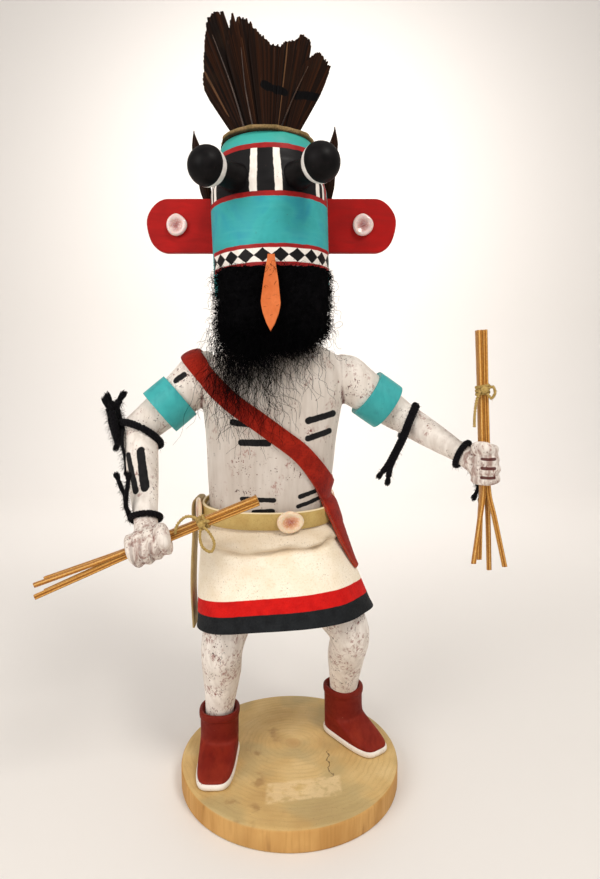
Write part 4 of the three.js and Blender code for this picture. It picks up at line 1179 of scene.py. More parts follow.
def side_feathers():
    finish = feather_finish("side_feathers")
    for name, (foot, tip, side) in SIDE_FEATHERS.items():
        foot, tip = np.array(foot), np.array(tip)
        up = unit(tip - foot)
        out = np.array([up[1], -up[0]]) * side
        front, back, tones = [], [], []
        for s in np.linspace(0, 1, 36):
            half = 2.3 * min(1, 0.3 + 2.4 * s)
            outer = half * (1 if s < 0.8 else 1 - 0.85 * ((s - 0.8) / 0.2) ** 1.2)
            inner = half * (1 if s < 0.72 else 1 - 1.12 * ((s - 0.72) / 0.28) ** 0.8)
            centre = foot + (tip - foot) * s
            row, rear = [], []
            for across in np.linspace(-1, 1, 11):
                reach = across * (outer if across > 0 else inner) + 0.9 * side * s**3 * 0.5
                cup = 0.5 * (1 - across**2) + 0.06 * math.sin(across * 17 + s * 4)
                x, z = centre + out * reach
                row.append((x, SIDE_FEATHER_Y - cup, z))
                rear.append((x, SIDE_FEATHER_Y - cup + 0.35, z))
                tones.append(0.45 + 0.3 * math.sin(13 * across + 3 * s))
            front.append(row)
            back.append(rear[::-1])
        rings = np.concatenate([np.array(front), np.array(back)], 1)
        tones = np.array(tones).reshape(36, 11)
        shares = np.concatenate([tones, tones[:, ::-1]], 1).ravel()
        piece = make(f"horn_feather_{name}", *skin(rings), finish, "feather", [f"side_feather_{name}"])
        paint_on(piece.data, "tone", np.r_[shares, 0.3, 0.3])


# Kilt and belt

KILT_WALL = 1.3
KILT_LEATHER = 1.0
KILT_LENGTH = 44
KILT_FLARE = 11
KILT_TOP = BELT_HEIGHT + BELT_WIDTH - 1.5
KILT_OUT = GAP + KILT_WALL
KILT_HEM = (-2.5, -2)
BELT_OUT = KILT_OUT + GAP + BELT_THICKNESS
BELT_SLOPE = 0.07
HEM_SIDE_SLOPE = 0.1
HEM_FRONT_SLOPE = 0.15
KILT_HIP = 0.14
HEM_BLACK = 6.4
HEM_RED = 12.4


def belt_level(height, y):
    return height + BELT_SLOPE * (y + 22)


def kilt_rings(out, steps=100, count=180, soft=True):
    """Rings of the kilt from its top edge down, and the height above the hem and the share of painted shade at each
    point.
    """
    rings, above, fold_shades = [], [], []
    for row in np.linspace(-0.14, 1, steps + 1):
        open_ = max(row, 0)
        drop = 0 if row < 0 else KILT_HIP + (1 - KILT_HIP) * row
        drop = KILT_HIP * (row + 0.14) / 0.14 if row < 0 else drop
        x = WAIST[1] + (KILT_HEM[0] - WAIST[1]) * open_
        y = WAIST[2] + (KILT_HEM[1] - WAIST[2]) * open_
        grow = out + KILT_FLARE * open_**0.7
        wide, deep = WAIST[3] + grow, WAIST[4] + grow
        px, py = oblong(x, y, wide, deep, SECTION, count)
        turn = angles(count)
        # A soft roll hangs over a crease below the belt, with slack wrinkles running into it
        crease = 0.16 - 0.03 * np.sin(turn) + 0.014 * np.sin(3 * turn + 0.6) + 0.012 * np.sin(7 * turn + 2)
        low = row - crease
        inside = np.minimum(1, np.maximum(row + 0.1, 0) * 12)
        push = 0.8 * open_ * np.sin(5 * turn + 0.8) + 2.2 * np.exp(-(((low + 0.09) / 0.075) ** 2)) * inside
        fold = np.exp(-((low / 0.028) ** 2)) * (0.7 + 0.3 * np.sin(2 * turn + 4))
        if soft:
            slack = np.exp(-(((low + 0.03) / 0.1) ** 2)) * inside
            wrinkles = np.sin(11 * turn + 34 * row + 1.3) + 0.7 * np.sin(17 * turn - 26 * row + 0.4)
            drape = 0.45 * open_ * np.sin(9 * turn + 1.3 + 1.2 * row) * (1 - 0.6 * open_)
            curl = 0.35 * np.exp(-(((row - 1) / 0.05) ** 2))
            push = push - 1.6 * fold + 0.5 * slack * wrinkles + drape + curl
        upper = belt_level(KILT_TOP, py)
        hem = BELT_HEIGHT + 3 - KILT_LENGTH + HEM_SIDE_SLOPE * (px + 2) - HEM_FRONT_SLOPE * py
        z = upper + (hem - upper) * drop
        px, py = px + push * (px - x) / wide, py + push * (py - y) / deep
        rings.append(np.stack([px, py, z], 1))
        above.append(z - hem)
        # Painted shade: full in the crease, and over half on the roll between the belt and the crease
        fold_shades.append(np.maximum(fold, 0.55 * (low < 0) * np.minimum(1, -low / 0.03)))
    return np.array(rings), np.array(above), np.array(fold_shades)


def kilt_finish():
    f = Finish("kilt_leather_painted", 0.85, 0.2)
    height = f.plus(f.attribute("above_hem"), f.swing(0.35, 3.5, 3))
    pores = f.noise(0.7, 4, seed=2)
    clouds = f.noise(9, 3, seed=3)
    base = f.shades(clouds, (0.3, "f1e2c8"), (0.6, "fbf0dc"))
    base = f.mix(f.step(pores, 0.52, 0.72, 0, 0.4), base, "d2bb93")
    # Painted shade in the crease below the belt and on the roll above it
    base = f.mix(f.times(f.attribute("fold"), 0.6), base, "a88a63")
    specks = f.times(f.step(f.noise(0.6, 2, seed=5), 0.66, 0.7), f.step(clouds, 0.45, 0.6))
    base = f.mix(f.times(specks, 0.6), base, "7a6248")
    red = f.shades(f.noise(4, 3, seed=6), (0.3, "bd0b09"), (0.7, "d4150f"))
    red = f.mix(f.step(pores, 0.55, 0.75, 0, 0.3), red, "9c0f0d")
    ink = f.shades(f.noise(4, 3, seed=7), (0.3, "111316"), (0.7, "1d2023"))
    base = f.mix(f.step(height, HEM_RED - 0.15, HEM_RED + 0.15, 1, 0), base, red)
    base = f.mix(f.step(height, HEM_BLACK - 0.15, HEM_BLACK + 0.15, 1, 0), base, ink)
    return f.finish(base, f.step(pores, 0.3, 0.8, 0.75, 0.95), pores, 0.7, 0.35)


def kilt():
    rings, above, fold_shades = kilt_rings(KILT_OUT)
    points, faces = skin(rings, caps=False)
    piece = make("kilt_wrap", *lifted((points, faces)), kilt_finish(), "kilt_leather", ["kilt"])
    paint_on(piece.data, "above_hem", above.ravel())
    paint_on(piece.data, "fold", fold_shades.ravel())
    apply(piece, "SOLIDIFY", thickness=KILT_LEATHER * MM, offset=1.0, use_even_offset=True)


def band_rings(out, inner, height, width, count=160):
    """Rings round a flat band with rounded edges, at the waist."""
    rings = []
    edge, middle = 0.25, (out + inner) / 2
    for off, level in ((inner, 0.5), (inner, 0), (inner, -0.5), (middle, -0.52), (out - edge, -0.5),
                       (out, -0.44), (out, 0), (out, 0.44), (out - edge, 0.5), (middle, 0.52), (inner, 0.5)):
        px, py = oblong(WAIST[1], WAIST[2], WAIST[3] + off, WAIST[4] + off, SECTION, count)
        rings.append(np.stack([px, py, belt_level(height + width * (0.5 + level), py)], 1))
    return rings


def leather_finish(name, low, high, dark, pale=None, rough=0.7):
    f = Finish(name, rough, 0.25)
    grain = f.noise(0.7, 4, seed=1)
    base = f.shades(f.noise(6, 3), (0.3, low), (0.7, high))
    base = f.mix(f.step(grain, 0.45, 0.8, 0, 0.4), base, dark)
    if pale:
        edge = f.attribute("edge")
        base = f.mix(f.step(f.plus(edge, f.times(grain, 0.2)), 0.5, 0.7), base, pale)
    return f.finish(base, f.step(grain, 0.2, 0.8, rough - 0.12, min(1, rough + 0.12)), grain, 0.5, 0.25)


def belt():
    olive = leather_finish("belt_leather", "b39456", "c2a768", "947a44", "e8d6b0", 0.65)
    rings = band_rings(BELT_OUT, KILT_OUT + 0.15, BELT_HEIGHT, BELT_WIDTH)
    points, faces = skin(rings, caps=False)
    piece = make("belt_band", *lifted((points, faces)), olive, "olive_leather", ["belt"])
    edge = np.zeros(len(points))
    count = len(rings[0])
    edge[8 * count : 10 * count] = 1
    paint_on(piece.data, "edge", edge)
    side = WAIST[1] - WAIST[3] - BELT_OUT - GAP - 0.55
    top = BELT_HEIGHT + BELT_WIDTH
    line = [(side + 0.4, top - 3.6), (side - 0.6, top + 0.6), (side - 3.2, top + 0.2), (side - 3.9, top - 4),
            (side - 3.8, top - 12), (side - 4.6, top - 26), (side - 5.0, top - 40), (side - 4.4, top - 56)]
    path = path_points([(x, 7, z) for x, z in line], 90)
    tangent = unit(np.gradient(path, axis=0))
    normal = np.stack([tangent[:, 2], np.zeros(len(path)), -tangent[:, 0]], 1)
    rings = []
    for k, (p, n) in enumerate(zip(path, normal)):
        half = 5.5 + 0.15 * math.sin(k * 0.21)
        corners = [(half, 0.3), (half - 0.3, 0.5), (0, 0.55), (-half + 0.3, 0.5), (-half, 0.3),
                   (-half, -0.3), (-half + 0.3, -0.5), (0, -0.45), (half - 0.3, -0.5), (half, -0.3)]
        rings.append([p + n * t + np.array([0, w + 0.2 * math.sin(k * 0.13), 0]) for w, t in corners])
    plain = leather_finish("sash_leather", "a8905c", "b8a072", "806640", None, 0.7)
    make("sash_strip", *lifted(skin(rings)), plain, "olive_leather", ["sash"])


# Bandolier, wrapped over the body, the kilt and the belt

BANDOLIER_WIDTH = 7.6
BANDOLIER_THICKNESS = 1.3
STRAP_END_Y = -4
STRAP_VOXEL = 0.8
BANDOLIER_LINE = [
    (-55, SHOULDER_HEIGHT + 26), (-40.3, SHOULDER_HEIGHT + 8.8), (-25.9, chest(0.87)), (-11.6, chest(0.656)),
    (2.8, chest(0.44)), (11.8, chest(0.22)), (17, BELT_HEIGHT + 8.8), (20.6, BELT_HEIGHT - 2.2),
    (24.4, BELT_HEIGHT - 12), (27.8, BELT_HEIGHT - 19),
]


def clipped(points, triangles, field):
    """The part of a mesh where the field is below zero, cut along its zero line."""
    points, values, made = list(map(np.array, points)), list(field), {}

    def cut(a, b):
        key = (min(a, b), max(a, b))
        if key not in made:
            t = values[a] / (values[a] - values[b])
            made[key] = len(points)
            points.append(points[a] + (points[b] - points[a]) * t)
            values.append(0.0)
        return made[key]

    inside = field < 0
    kept = [tuple(t) for t in triangles[inside[triangles].all(1)]]
    mixed = triangles[inside[triangles].any(1) & ~inside[triangles].all(1)]
    for triangle in mixed.tolist():
        ring = []
        for i in range(3):
            a, b = triangle[i], triangle[(i + 1) % 3]
            if inside[a]:
                ring.append(a)
            if inside[a] != inside[b]:
                ring.append(cut(a, b))
        kept.append(tuple(ring))
    used = sorted({i for face in kept for i in face})
    index = {old: new for new, old in enumerate(used)}
    return np.array([points[i] for i in used]), [tuple(index[i] for i in f) for f in kept]


def far_from(line, halves, x, z):
    """How far points are outside a strap along a line in the plane of X and Z."""
    best = np.full(len(x), 1e9)
    for (ax, az), (bx, bz), h, k in zip(line[:-1], line[1:], halves[:-1], halves[1:]):
        dx, dz = bx - ax, bz - az
        t = np.clip(((x - ax) * dx + (z - az) * dz) / (dx * dx + dz * dz), 0, 1)
        best = np.minimum(best, np.hypot(x - ax - t * dx, z - az - t * dz) - (h + (k - h) * t))
    return best


def largest_part(points, faces):
    parent = list(range(len(points)))

    def root(i):
        while parent[i] != i:
            parent[i] = parent[parent[i]]
            i = parent[i]
        return i

    for face in faces:
        for i in face[1:]:
            parent[root(i)] = root(face[0])
    roots = [root(f[0]) for f in faces]
    top = max(set(roots), key=roots.count)
    kept = [f for f, r in zip(faces, roots) if r == top]
    used = sorted({i for face in kept for i in face})
    index = {old: new for new, old in enumerate(used)}
    return points[used], [tuple(index[i] for i in f) for f in kept]


def stretched(points):
    """Skin stretched over points."""
    shape = bmesh.new()
    for point in points:
        shape.verts.new(point)
    bmesh.ops.convex_hull(shape, input=shape.verts)
    used = [v for v in shape.verts if v.link_faces]
    index = {v: i for i, v in enumerate(used)}
    result = [tuple(v.co) for v in used], [tuple(index[v] for v in f.verts) for f in shape.faces]
    shape.free()
    return result


def strap_back(level):
    """How far back the strap reaches at a level: its end hangs at the front of the hip."""
    return STRAP_END_Y + np.maximum(level - BELT_HEIGHT + 1, 0) * 2.2


def bandolier():
    kilt_part = kilt_rings(KILT_OUT, soft=False)[0]
    kilt_part = kilt_part + (kilt_part - kilt_part.mean(1, keepdims=True)) * (0.012, 0.012, 0)
    band = band_rings(BELT_OUT, 0, BELT_HEIGHT, BELT_WIDTH)
    skins = [trunk(0.1), upper_arm(ARMS["right"], 0.1), skin(kilt_part), skin(band, caps=False)]
    # It is drawn tight from the trunk over the belt to the kilt
    tight = [np.asarray(band).reshape(-1, 3)]
    for points, low, high in ((np.array(skins[0][0]), 8, 10), (kilt_part.reshape(-1, 3), -16, -14)):
        level = points[:, 2] - BELT_HEIGHT
        tight.append(points[(level > low) & (level < high)])
    skins.append(stretched(np.concatenate(tight).tolist()))
    f = Finish("strap_suede", 0.9, 0.1, Sheen_Weight=0.08, Sheen_Roughness=0.5)
    nap = f.noise(0.6, 4, seed=1)
    base = f.shades(f.noise(8, 3, seed=2), (0.3, "7e150b"), (0.5, "9c2212"), (0.62, "841809"), (0.8, "a32a17"))
    base = f.mix(f.step(nap, 0.4, 0.75, 0, 0.6), base, "620f07")
    base = f.mix(f.step(f.attribute("rim"), 0.5, 1.0, 0, 0.45), base, "b44a2c")
    suede = f.finish(base, None, nap, 0.8, 0.3)
    piece = make("bandolier_strap", *lifted(joined(*skins)), suede, "red_leather", ["bandolier"])
    voxel = STRAP_VOXEL
    apply(piece, "REMESH", mode="VOXEL", voxel_size=voxel * MM)
    apply(piece, "SMOOTH", factor=0.5, iterations=22)
    mesh = piece.data
    mesh.calc_loop_triangles()
    triangles = np.empty(len(mesh.loop_triangles) * 3, int)
    mesh.loop_triangles.foreach_get("vertices", triangles)
    points, out = positions(mesh), normals(mesh)
    line = path_points(BANDOLIER_LINE, 60)
    low = np.clip((BELT_HEIGHT + 14 - line[:, 1]) / 37, 0, 1)
    halves = BANDOLIER_WIDTH / 2 * (1 - 0.38 * np.minimum(1, low * 2.2) - 0.6 * low**2)
    ripple = 0.1 * np.sin(points[:, 2] * 0.5)
    level = points[:, 2] - FLOOR
    field = far_from(line, halves, points[:, 0], level) + ripple
    field = np.maximum(field, points[:, 1] - strap_back(level))
    both = np.concatenate([points, out], 1)
    kept, faces = clipped(both, triangles.reshape(-1, 3), field)
    kept, faces = largest_part(kept, faces)
    inner, out = kept[:, :3], unit(kept[:, 3:])
    level = inner[:, 2] - FLOOR
    depth = np.minimum(-far_from(line, halves, inner[:, 0], level), strap_back(level) - inner[:, 1])
    rise = BANDOLIER_THICKNESS * np.clip(1 - np.exp(-np.maximum(depth, 0) / 0.22) * 0.55, 0, 1)
    outer = inner + out * (GAP + rise)[:, None]
    inner = inner + out * 0.05
    total = len(inner)
    edges = {}
    for face in faces:
        for i in range(len(face)):
            a, b = face[i], face[(i + 1) % len(face)]
            if edges.pop((b, a), None) is None:
                edges[(a, b)] = True
    rim = [(a, b, b + total, a + total) for a, b in edges]
    shell = [tuple(i + total for i in f) for f in faces]
    shell += [tuple(reversed(f)) for f in faces] + [r[::-1] for r in rim]
    new = bpy.data.meshes.new("bandolier_strap")
    new.from_pydata((np.concatenate([inner, outer]) * MM).tolist(), [], shell)
    new.materials.append(suede)
    new.shade_smooth()
    piece.data = new
    paint_on(new, "rim", np.r_[np.ones(total), 1 - np.clip(depth / 0.8, 0, 1)])


# Armbands and yarn

ARMBAND_WIDTH = 10.8
ARMBAND_THICKNESS = 1.1


def armbands():
    f = Finish("armband_paint", 0.45, 0.3)
    streaks = f.noise(2.2, 4, (1, 1, 4), 0.4)
    base = f.shades(f.noise(7, 3, seed=1), (0.3, "339c9e"), (0.7, "3fadad"))
    base = f.mix(f.step(streaks, 0.45, 0.8, 0, 0.4), base, "267f88")
    base = f.mix(f.step(f.noise(0.8, 3, seed=3), 0.7, 0.74, 0, 0.6), base, "2a3330")
    paint = f.finish(base, f.step(streaks, 0.2, 0.8, 0.36, 0.55), streaks, 0.3, 0.2)
    inner = UPPER_ARM_RADIUS - 0.3
    outer = UPPER_ARM_RADIUS + 0.6 + GAP + ARMBAND_THICKNESS
    half = ARMBAND_WIDTH / 2
    profile = [(inner, -half + 0.2), (outer - 0.35, -half), (outer - 0.08, -half + 0.08), (outer, -half + 0.4),
               (outer + 0.05, 0), (outer, half - 0.4), (outer - 0.08, half - 0.08), (outer - 0.35, half), (inner, half - 0.2)]
    for side, arm in ARMS.items():
        way = arm["elbow"] - arm["shoulder"]
        axes = along(way, np.array([0, 1.0, 0]))
        points, faces = turned(profile, 40, 96)
        points = np.asarray(points) @ axes + arm["shoulder"] + way * (0.52 if side == "right" else 0.6)
        make(f"band_{side}", *lifted((points, faces)), paint, "turquoise_leather", [f"armband_{side}"])


def yarn_finish(name, low, high, rough):
    f = Finish(name, rough, 0.1, Sheen_Weight=0.04)
    base = f.shades(f.noise(0.7, 4), (0.3, low), (0.75, high))
    return f.finish(base, None, f.noise(0.35, 3, seed=1), 0.7, 0.15)


def twisted(path, radius, plies=3, pitch=3.4, sides=6):
    """Plies laid round a path, like yarn or string."""
    path = np.asarray(path, float)
    across, up = frames(path)
    run = np.r_[0, np.cumsum(np.linalg.norm(np.diff(path, axis=0), axis=1))]
    parts = []
    for k in range(plies):
        turn = run / pitch * 2 * np.pi + 2 * np.pi * k / plies
        offset = np.cos(turn)[:, None] * across + np.sin(turn)[:, None] * up
        ends = np.minimum(1, 0.5 + np.minimum(run, run[-1] - run) * 2)
        parts.append(tube(path + offset * radius * 0.5, radius * 0.58 * ends, sides))
    return joined(*parts)


def dense(points, spacing=0.45):
    rough = path_points(points, 200)
    length = np.linalg.norm(np.diff(rough, axis=0), axis=1).sum()
    return path_points(points, max(12, int(length / spacing)))


def fuzz(path, radius, number, length):
    """Loose fibres standing off a cord."""
    at = rng.integers(1, len(path) - 1, number)
    out = unit(rng.normal(size=(number, 3)))
    start = path[at] + out * radius * 0.8
    way = unit(out + rng.normal(0, 0.7, (number, 3)))
    reach = rng.uniform(0.3, 1, number)[:, None] * length
    droop = np.array([0, 0, -0.3]) * length
    rows = [start + way * reach * t + droop * t * t for t in (0, 0.35, 0.7, 1)]
    return fibres(np.stack(rows, 1), np.array([0.11, 0.1, 0.08, 0.03]))


def tassel(at, way, length, spread, number):
    """Unlaid end of a yarn."""
    way = unit(np.asarray(way, float))
    side = unit(rng.normal(size=(number, 3)))
    start = np.asarray(at, float) + side * 0.5
    reach = rng.uniform(0.7, 1.05, number)[:, None] * length
    rows = []
    for t in np.linspace(0, 1, 6):
        rows.append(start + way * reach * t + side * spread * t**0.8 + rng.normal(0, 0.12, (number, 3)) * t)
    return fibres(np.stack(rows, 1), np.array([0.3, 0.34, 0.34, 0.3, 0.24, 0.1]))


YARN_RADIUS = 1.2


def ring_path(arm, share, radius, facing):
    """Loop round a forearm, in the plane with the given facing."""
    way = arm["wrist"] - arm["elbow"]
    centre = arm["elbow"] + way * share
    axes = along(way, np.array([0, 0, 1.0]))
    turn = np.linspace(0, 2 * np.pi, 90)
    round_ = (np.cos(turn)[:, None] * axes[0] + np.sin(turn)[:, None] * axes[1]) * radius
    facing = np.array(facing, float)
    return round_ - (round_ @ facing / (axes[2] @ facing))[:, None] * axes[2] + centre


def drawn_tight(ring, centre, surface, clear):
    """Loop moved to lie on a surface."""
    way = unit(ring - centre)
    reach = np.linalg.norm(ring - centre, axis=1)
    for i, (direction, far) in enumerate(zip(way, reach)):
        start = Vector(centre + direction * (far + 4) + (0, 0, FLOOR))
        hit, _, _, travelled = surface.ray_cast(start, Vector(-direction))
        if hit is not None:
            reach[i] = np.clip(far + 4 - travelled, 0.75 * far, 1.15 * far)
    reach = np.mean([np.roll(reach, k) for k in range(-4, 5)], axis=0)
    return centre + way * (reach + clear)[:, None]


def yarns(body):
    faces = [tuple(p.vertices) for p in body.data.polygons]
    surface = BVHTree.FromPolygons(positions(body.data).tolist(), faces)
    wool = yarn_finish("black_yarn", "060507", "131115", 0.95)
    places = {
        "yarn_elbow_right": ("right", 0.07, 7.2, (-0.42, -0.5, -0.78)),
        "yarn_wrist_right": ("right", 0.98, 5.0, (0.1, -0.5, -0.85)),
        "yarn_elbow_left": ("left", 0.2, 6.3, (0.9, -0.1, -0.43)),
        "yarn_wrist_left": ("left", 1.06, 4.8, (0.75, -0.5, -0.4)),
    }
    # Thickness of each tail as a share of the yarn's, how far its end opens, and its path
    tails = {
        "yarn_elbow_right": [
            (1.1, 4.0, [(-66.8, -9, -19), (-68.4, -10, -23), (-69.8, -10.5, -18.5),
                        (-69.8, -10.8, -13), (-68.2, -10.8, -9.6)]),
            (1.1, 4.5, [(-66.8, -9, -19.6), (-69.2, -11, -24.5), (-71.2, -11, -19),
                        (-71.6, -11, -15), (-72.4, -11, -12.4)]),
            (1.2, 3.5, [(-66.6, -10, -20), (-68.6, -12, -25.5), (-69.4, -12.4, -21),
                        (-70.0, -12.4, -17), (-70.6, -12.2, -13.5)]),
            (1.1, 3.5, [(-66.8, -9, -19), (-69, -9, -21.5), (-69, -9, -16),
                        (-69.6, -9.4, -11.5), (-68.2, -9.6, -9)]),
            (1.0, 3.5, [(-66.4, -8, -18), (-68, -9, -20), (-69.2, -9, -15),
                        (-71, -9.4, -11.5), (-71.8, -9.6, -9.8)]),
            (1.1, 3.0, [(-66.6, -10, -20), (-68.4, -10, -24.5), (-69.2, -10, -26.4)]),
            (0.5, 1.6, [(-66.2, -13, -21), (-65.4, -17, -26.4), (-64.2, -18.4, -31.6), (-63.6, -19.4, -36.2)]),
        ],
        "yarn_wrist_right": [
            (0.7, 2.4, [(-57.4, -34, -52.2), (-59.3, -35, -47.5), (-59.5, -35.4, -43.3),
                        (-60.9, -35.4, -40), (-61.9, -35, -37.4)]),
            (0.7, 2.4, [(-57.8, -35.5, -52), (-59.1, -36.2, -47), (-58.8, -36.6, -43),
                        (-58.2, -36.6, -39.6), (-58, -36.4, -37.2)]),
        ],
        "yarn_elbow_left": [
            (1.0, 2.6, [(51, -9, -10.4), (47.6, -12.2, -17.5), (45, -13.8, -23.7),
                        (41.8, -14.6, -30), (39.4, -14.8, -34.6), (37.2, -15, -37.6)]),
            (1.0, 2.6, [(52, -8.6, -11.2), (48.4, -12.4, -18), (45.8, -14, -24.2),
                        (42.6, -14.8, -30.4), (40.4, -15, -35.4), (39.6, -15.2, -39.6)]),
        ],
        "yarn_wrist_left": [
            (0.6, 2.0, [(69, -21, -33.6), (71.8, -22, -38), (73.2, -22.6, -42), (72.2, -23, -45)]),
            (0.6, 2.0, [(69.8, -21, -33.6), (72.8, -22.4, -38.5), (74.2, -22.8, -42.6), (74.3, -23, -45.8)]),
        ],
    }
    for node, (side, share, radius, facing) in places.items():
        arm, loose = ARMS[side], node == "yarn_elbow_right"
        ring = ring_path(arm, share, radius, facing)
        thick = YARN_RADIUS * (1.3 if loose else 1.0)
        centre = arm["elbow"] + (arm["wrist"] - arm["elbow"]) * share
        ring = drawn_tight(ring, centre, surface, 0.75 * thick)
        parts = [twisted(ring, thick), fuzz(ring, thick, 320, 1.5)]
        for thick, open_, line in tails[node]:
            path = dense([raised(*place) for place in line])
            thick *= YARN_RADIUS
            parts.append(twisted(path, thick))
            parts.append(fuzz(path, thick, 320 if loose else 260, 3.2 if loose else 1.8))
            parts.append(tassel(path[-1], path[-1] - path[-4], open_, 0.35 * open_ ** 0.6, 150))
        make(node + "_cord", *lifted(joined(*parts)), wool, "yarn", [node])


# Whips of split straw

STRAW_THICKNESS = 1.5
STRAW_PITCH = STRAW_THICKNESS / 2 + 0.16
STRAW_FULLNESS = 1.2
STRAW_SIDES = 28
FIST_HALF = 9
# Place of each strip in its bundle, and how far its lower end stands off and stops short
STRAWS = {
    "right": [(-1, -1, (-3.6, -0.6), 0), (1, -1, (1.2, -1.2), 1), (-1, 1, (-1.4, 1.2), 0.4), (1, 1, (4.2, 0.8), 1.4)],
    "left": [(-1, -1, (-1, -3.6), 2.6), (1, -1, (1.2, -0.5), 0), (-1, 1, (-1.4, 3.5), 4.6), (1, 1, (1, 0.9), 4.4)],
}


STRING_RADIUS = 0.6
STRING_PITCH = 1.9


def straw_finish():
    f = Finish("split_straw", 0.45, 0.3)
    run = f.attribute("round")
    line = f.noise(0.45, 3, seed=2)
    tone = f.plus(run, f.times(f.minus(line, 0.5), 0.9))
    base = f.shades(tone, (0.0, "744310"), (0.35, "a86c22"), (0.7, "c98f3c"), (1.0, "e2bb78"))
    base = f.mix(f.step(f.noise(5, 3, seed=4), 0.5, 0.75, 0, 0.35), base, "b37a30")
    return f.finish(base, f.step(line, 0.2, 0.8, 0.32, 0.5), tone, 0.5, 0.2)


def whips():
    straw = straw_finish()
    string = yarn_finish("tan_string", "9a8046", "c8ab6c", 0.9)
    for side, arm in ARMS.items():
        start, end, hand = arm["start"], arm["end"], grip_of(arm)
        way = unit(end - start)
        tie = hand + (end - hand) * arm["tie"]
        axes = along(way, np.array([0, 1.0, 0]))
        for i, (sx, sy, s, short) in enumerate(STRAWS[side]):
            x, y = sx * STRAW_PITCH, sy * STRAW_PITCH
            spread, (wide, deep) = arm["spread"], arm["open"]
            marks = [
                (start + way * short, x + s[0] * spread, y + s[1] * spread),
                ((start + hand) / 2, x * 1.3 + s[0] * wide * spread, y * 1.3 + s[1] * deep * spread),
                (hand - way * FIST_HALF, x, y),
                (hand + way * FIST_HALF, x, y),
                (tie, x * 0.94, y * 0.94),
                (end, x * 1.04, y * 1.04),
            ]
            path = path_points([np.array([a, b, 0]) @ axes + p for p, a, b in marks], 110)
            half = STRAW_THICKNESS / 2 * STRAW_FULLNESS
            ring = []
            for k in range(STRAW_SIDES):
                turn = 2 * math.pi * k / STRAW_SIDES
                c, q = math.cos(turn), math.sin(turn)
                groove = 1 + 0.05 * math.sin(turn * 5 + i) + 0.04 * math.sin(turn * 9)
                ring.append([half * np.sign(v) * abs(v) ** 0.55 * groove for v in (c, q)])
            ring = np.array(ring)
            rings = []
            for k, p in enumerate(path):
                taper = 1 - 0.1 * math.sin(k * 0.05 + i) - (0.22 * (1 - k / 45) if k < 45 else 0)
                rings.append(np.stack([ring[:, 0] * taper, ring[:, 1], np.zeros(STRAW_SIDES)], 1) @ axes + p)
            points, faces = skin(rings)
            node = f"whip_{side}_strip_{i + 1}"
            piece = make(f"straw_{side}_{i + 1}", *lifted((points, faces)), straw, "straw", [node])
            tones = np.tile(0.5 + 0.5 * np.sin(np.arange(STRAW_SIDES) * 1.7 + i * 2), len(rings))
            paint_on(piece.data, "round", np.r_[tones, 0.9, 0.9])
        radius = (STRAW_PITCH + STRAW_THICKNESS / 2) * 1.3
        parts = []
        turn = np.linspace(0, 2 * np.pi * 2.9, 170)
        coil = np.stack([np.cos(turn), np.sin(turn), (turn / turn[-1] - 0.5) * 3.6 / radius], 1) * radius
        parts.append(twisted(coil @ axes + tie, STRING_RADIUS + 0.02, 2, STRING_PITCH, 6))
        knot = tie + np.array([0, -radius - 0.4, 0])
        if side == "right":
            loops = [
                [(0, 0, 0), (-2, -1.2, 2.6), (-5.4, -1.6, 3), (-8.4, -1.2, 0), (-9.4, -0.4, -3.4)],
                [(0, 0, -0.4), (2.8, -1.2, -2.6), (4.6, -1.0, -6.6), (3.4, -0.8, -9.8), (0.6, -0.6, -8.4), (-0.6, -0.4, -5), (-0.2, 0, -1)],
                [(0, 0, 0.4), (1.6, -0.6, 1.4), (3.0, -0.6, 1.0)],
            ]
        else:
            loops = [
                [(0.6, 0, 0), (2.6, -0.8, 1.2), (3.6, -0.6, -1.0), (2.4, -0.4, -3.0), (0.8, -0.2, -1.2)],
                [(-1.6, 0, -0.4), (-3.0, -0.4, -4), (-3.4, 0, -9.4), (-3.2, 0.6, -13.6)],
            ]
        for loop in loops:
            path = dense([np.array(p) + knot for p in loop])
            parts.append(twisted(path, STRING_RADIUS, 2, STRING_PITCH, 6))
        parts.append(blob((1.5, 1.2, 1.4), lambda p, c=knot: p + c, 2.2, 16))
        path = dense([np.array(p) + knot for p in loops[0]])
        parts.append(fuzz(path, 0.5, 60, 1.0))
        make(f"whip_string_{side}", *lifted(joined(*parts)), string, "string", [f"whip_tie_{side}"])


# Beard and tongue

# Height from the mask's lower edge, middle in depth, and half width and depth
BEARD = [
    (9.0, -11.8, 20.6, 12.8), (5.5, -12.0, 21.8, 13.4), (-2, -13.2, 21.8, 13.6), (-9, -14.8, 21.3, 13.2),
    (-14, -16, 20.6, 12.2), (-18, -17, 18.2, 10.4), (-21, -17.6, 12.5, 7.5), (-23, -18, 4, 3),
]
BEARD_X = MASK_X + 1.2


def outside_body(points, clear):
    """Moves points so that they stand off the trunk."""
    x, y, wide, deep = trunk_at(points[..., 2])
    px, py = (points[..., 0] - x) / (wide + clear), (points[..., 1] - y) / (deep + clear)
    size = (np.abs(px) ** SECTION + np.abs(py) ** SECTION) ** (1 / SECTION)
    push = np.where((size < 1) & (py < 0), 1 / np.maximum(size, 0.3), 1.0)
    points[..., 0] = x + px * push * (wide + clear)
    points[..., 1] = y + py * push * (deep + clear)
    return points


def on_beard(angle, share):
    """Points on the beard's core and the directions out of it."""
    z, y, wide, deep = path_points(BEARD, 60)[np.clip((share * 60).astype(int), 0, 60)].T
    out = np.stack([np.sin(angle), -np.cos(angle), np.zeros(len(angle))], 1)
    place = np.stack([BEARD_X + wide * np.sin(angle), y - deep * np.cos(angle), MASK_HEIGHT + z], 1)
    return place, out


# No hair reaches further forward than this
HAIR_FRONT = -46.5
WOOL_HAIRS = 3500
FRINGE_HAIRS = 950
LOOSE_HAIRS = (80, 140)
LOCK_HAIRS = (20, 90)
STRAY_HAIRS = 70


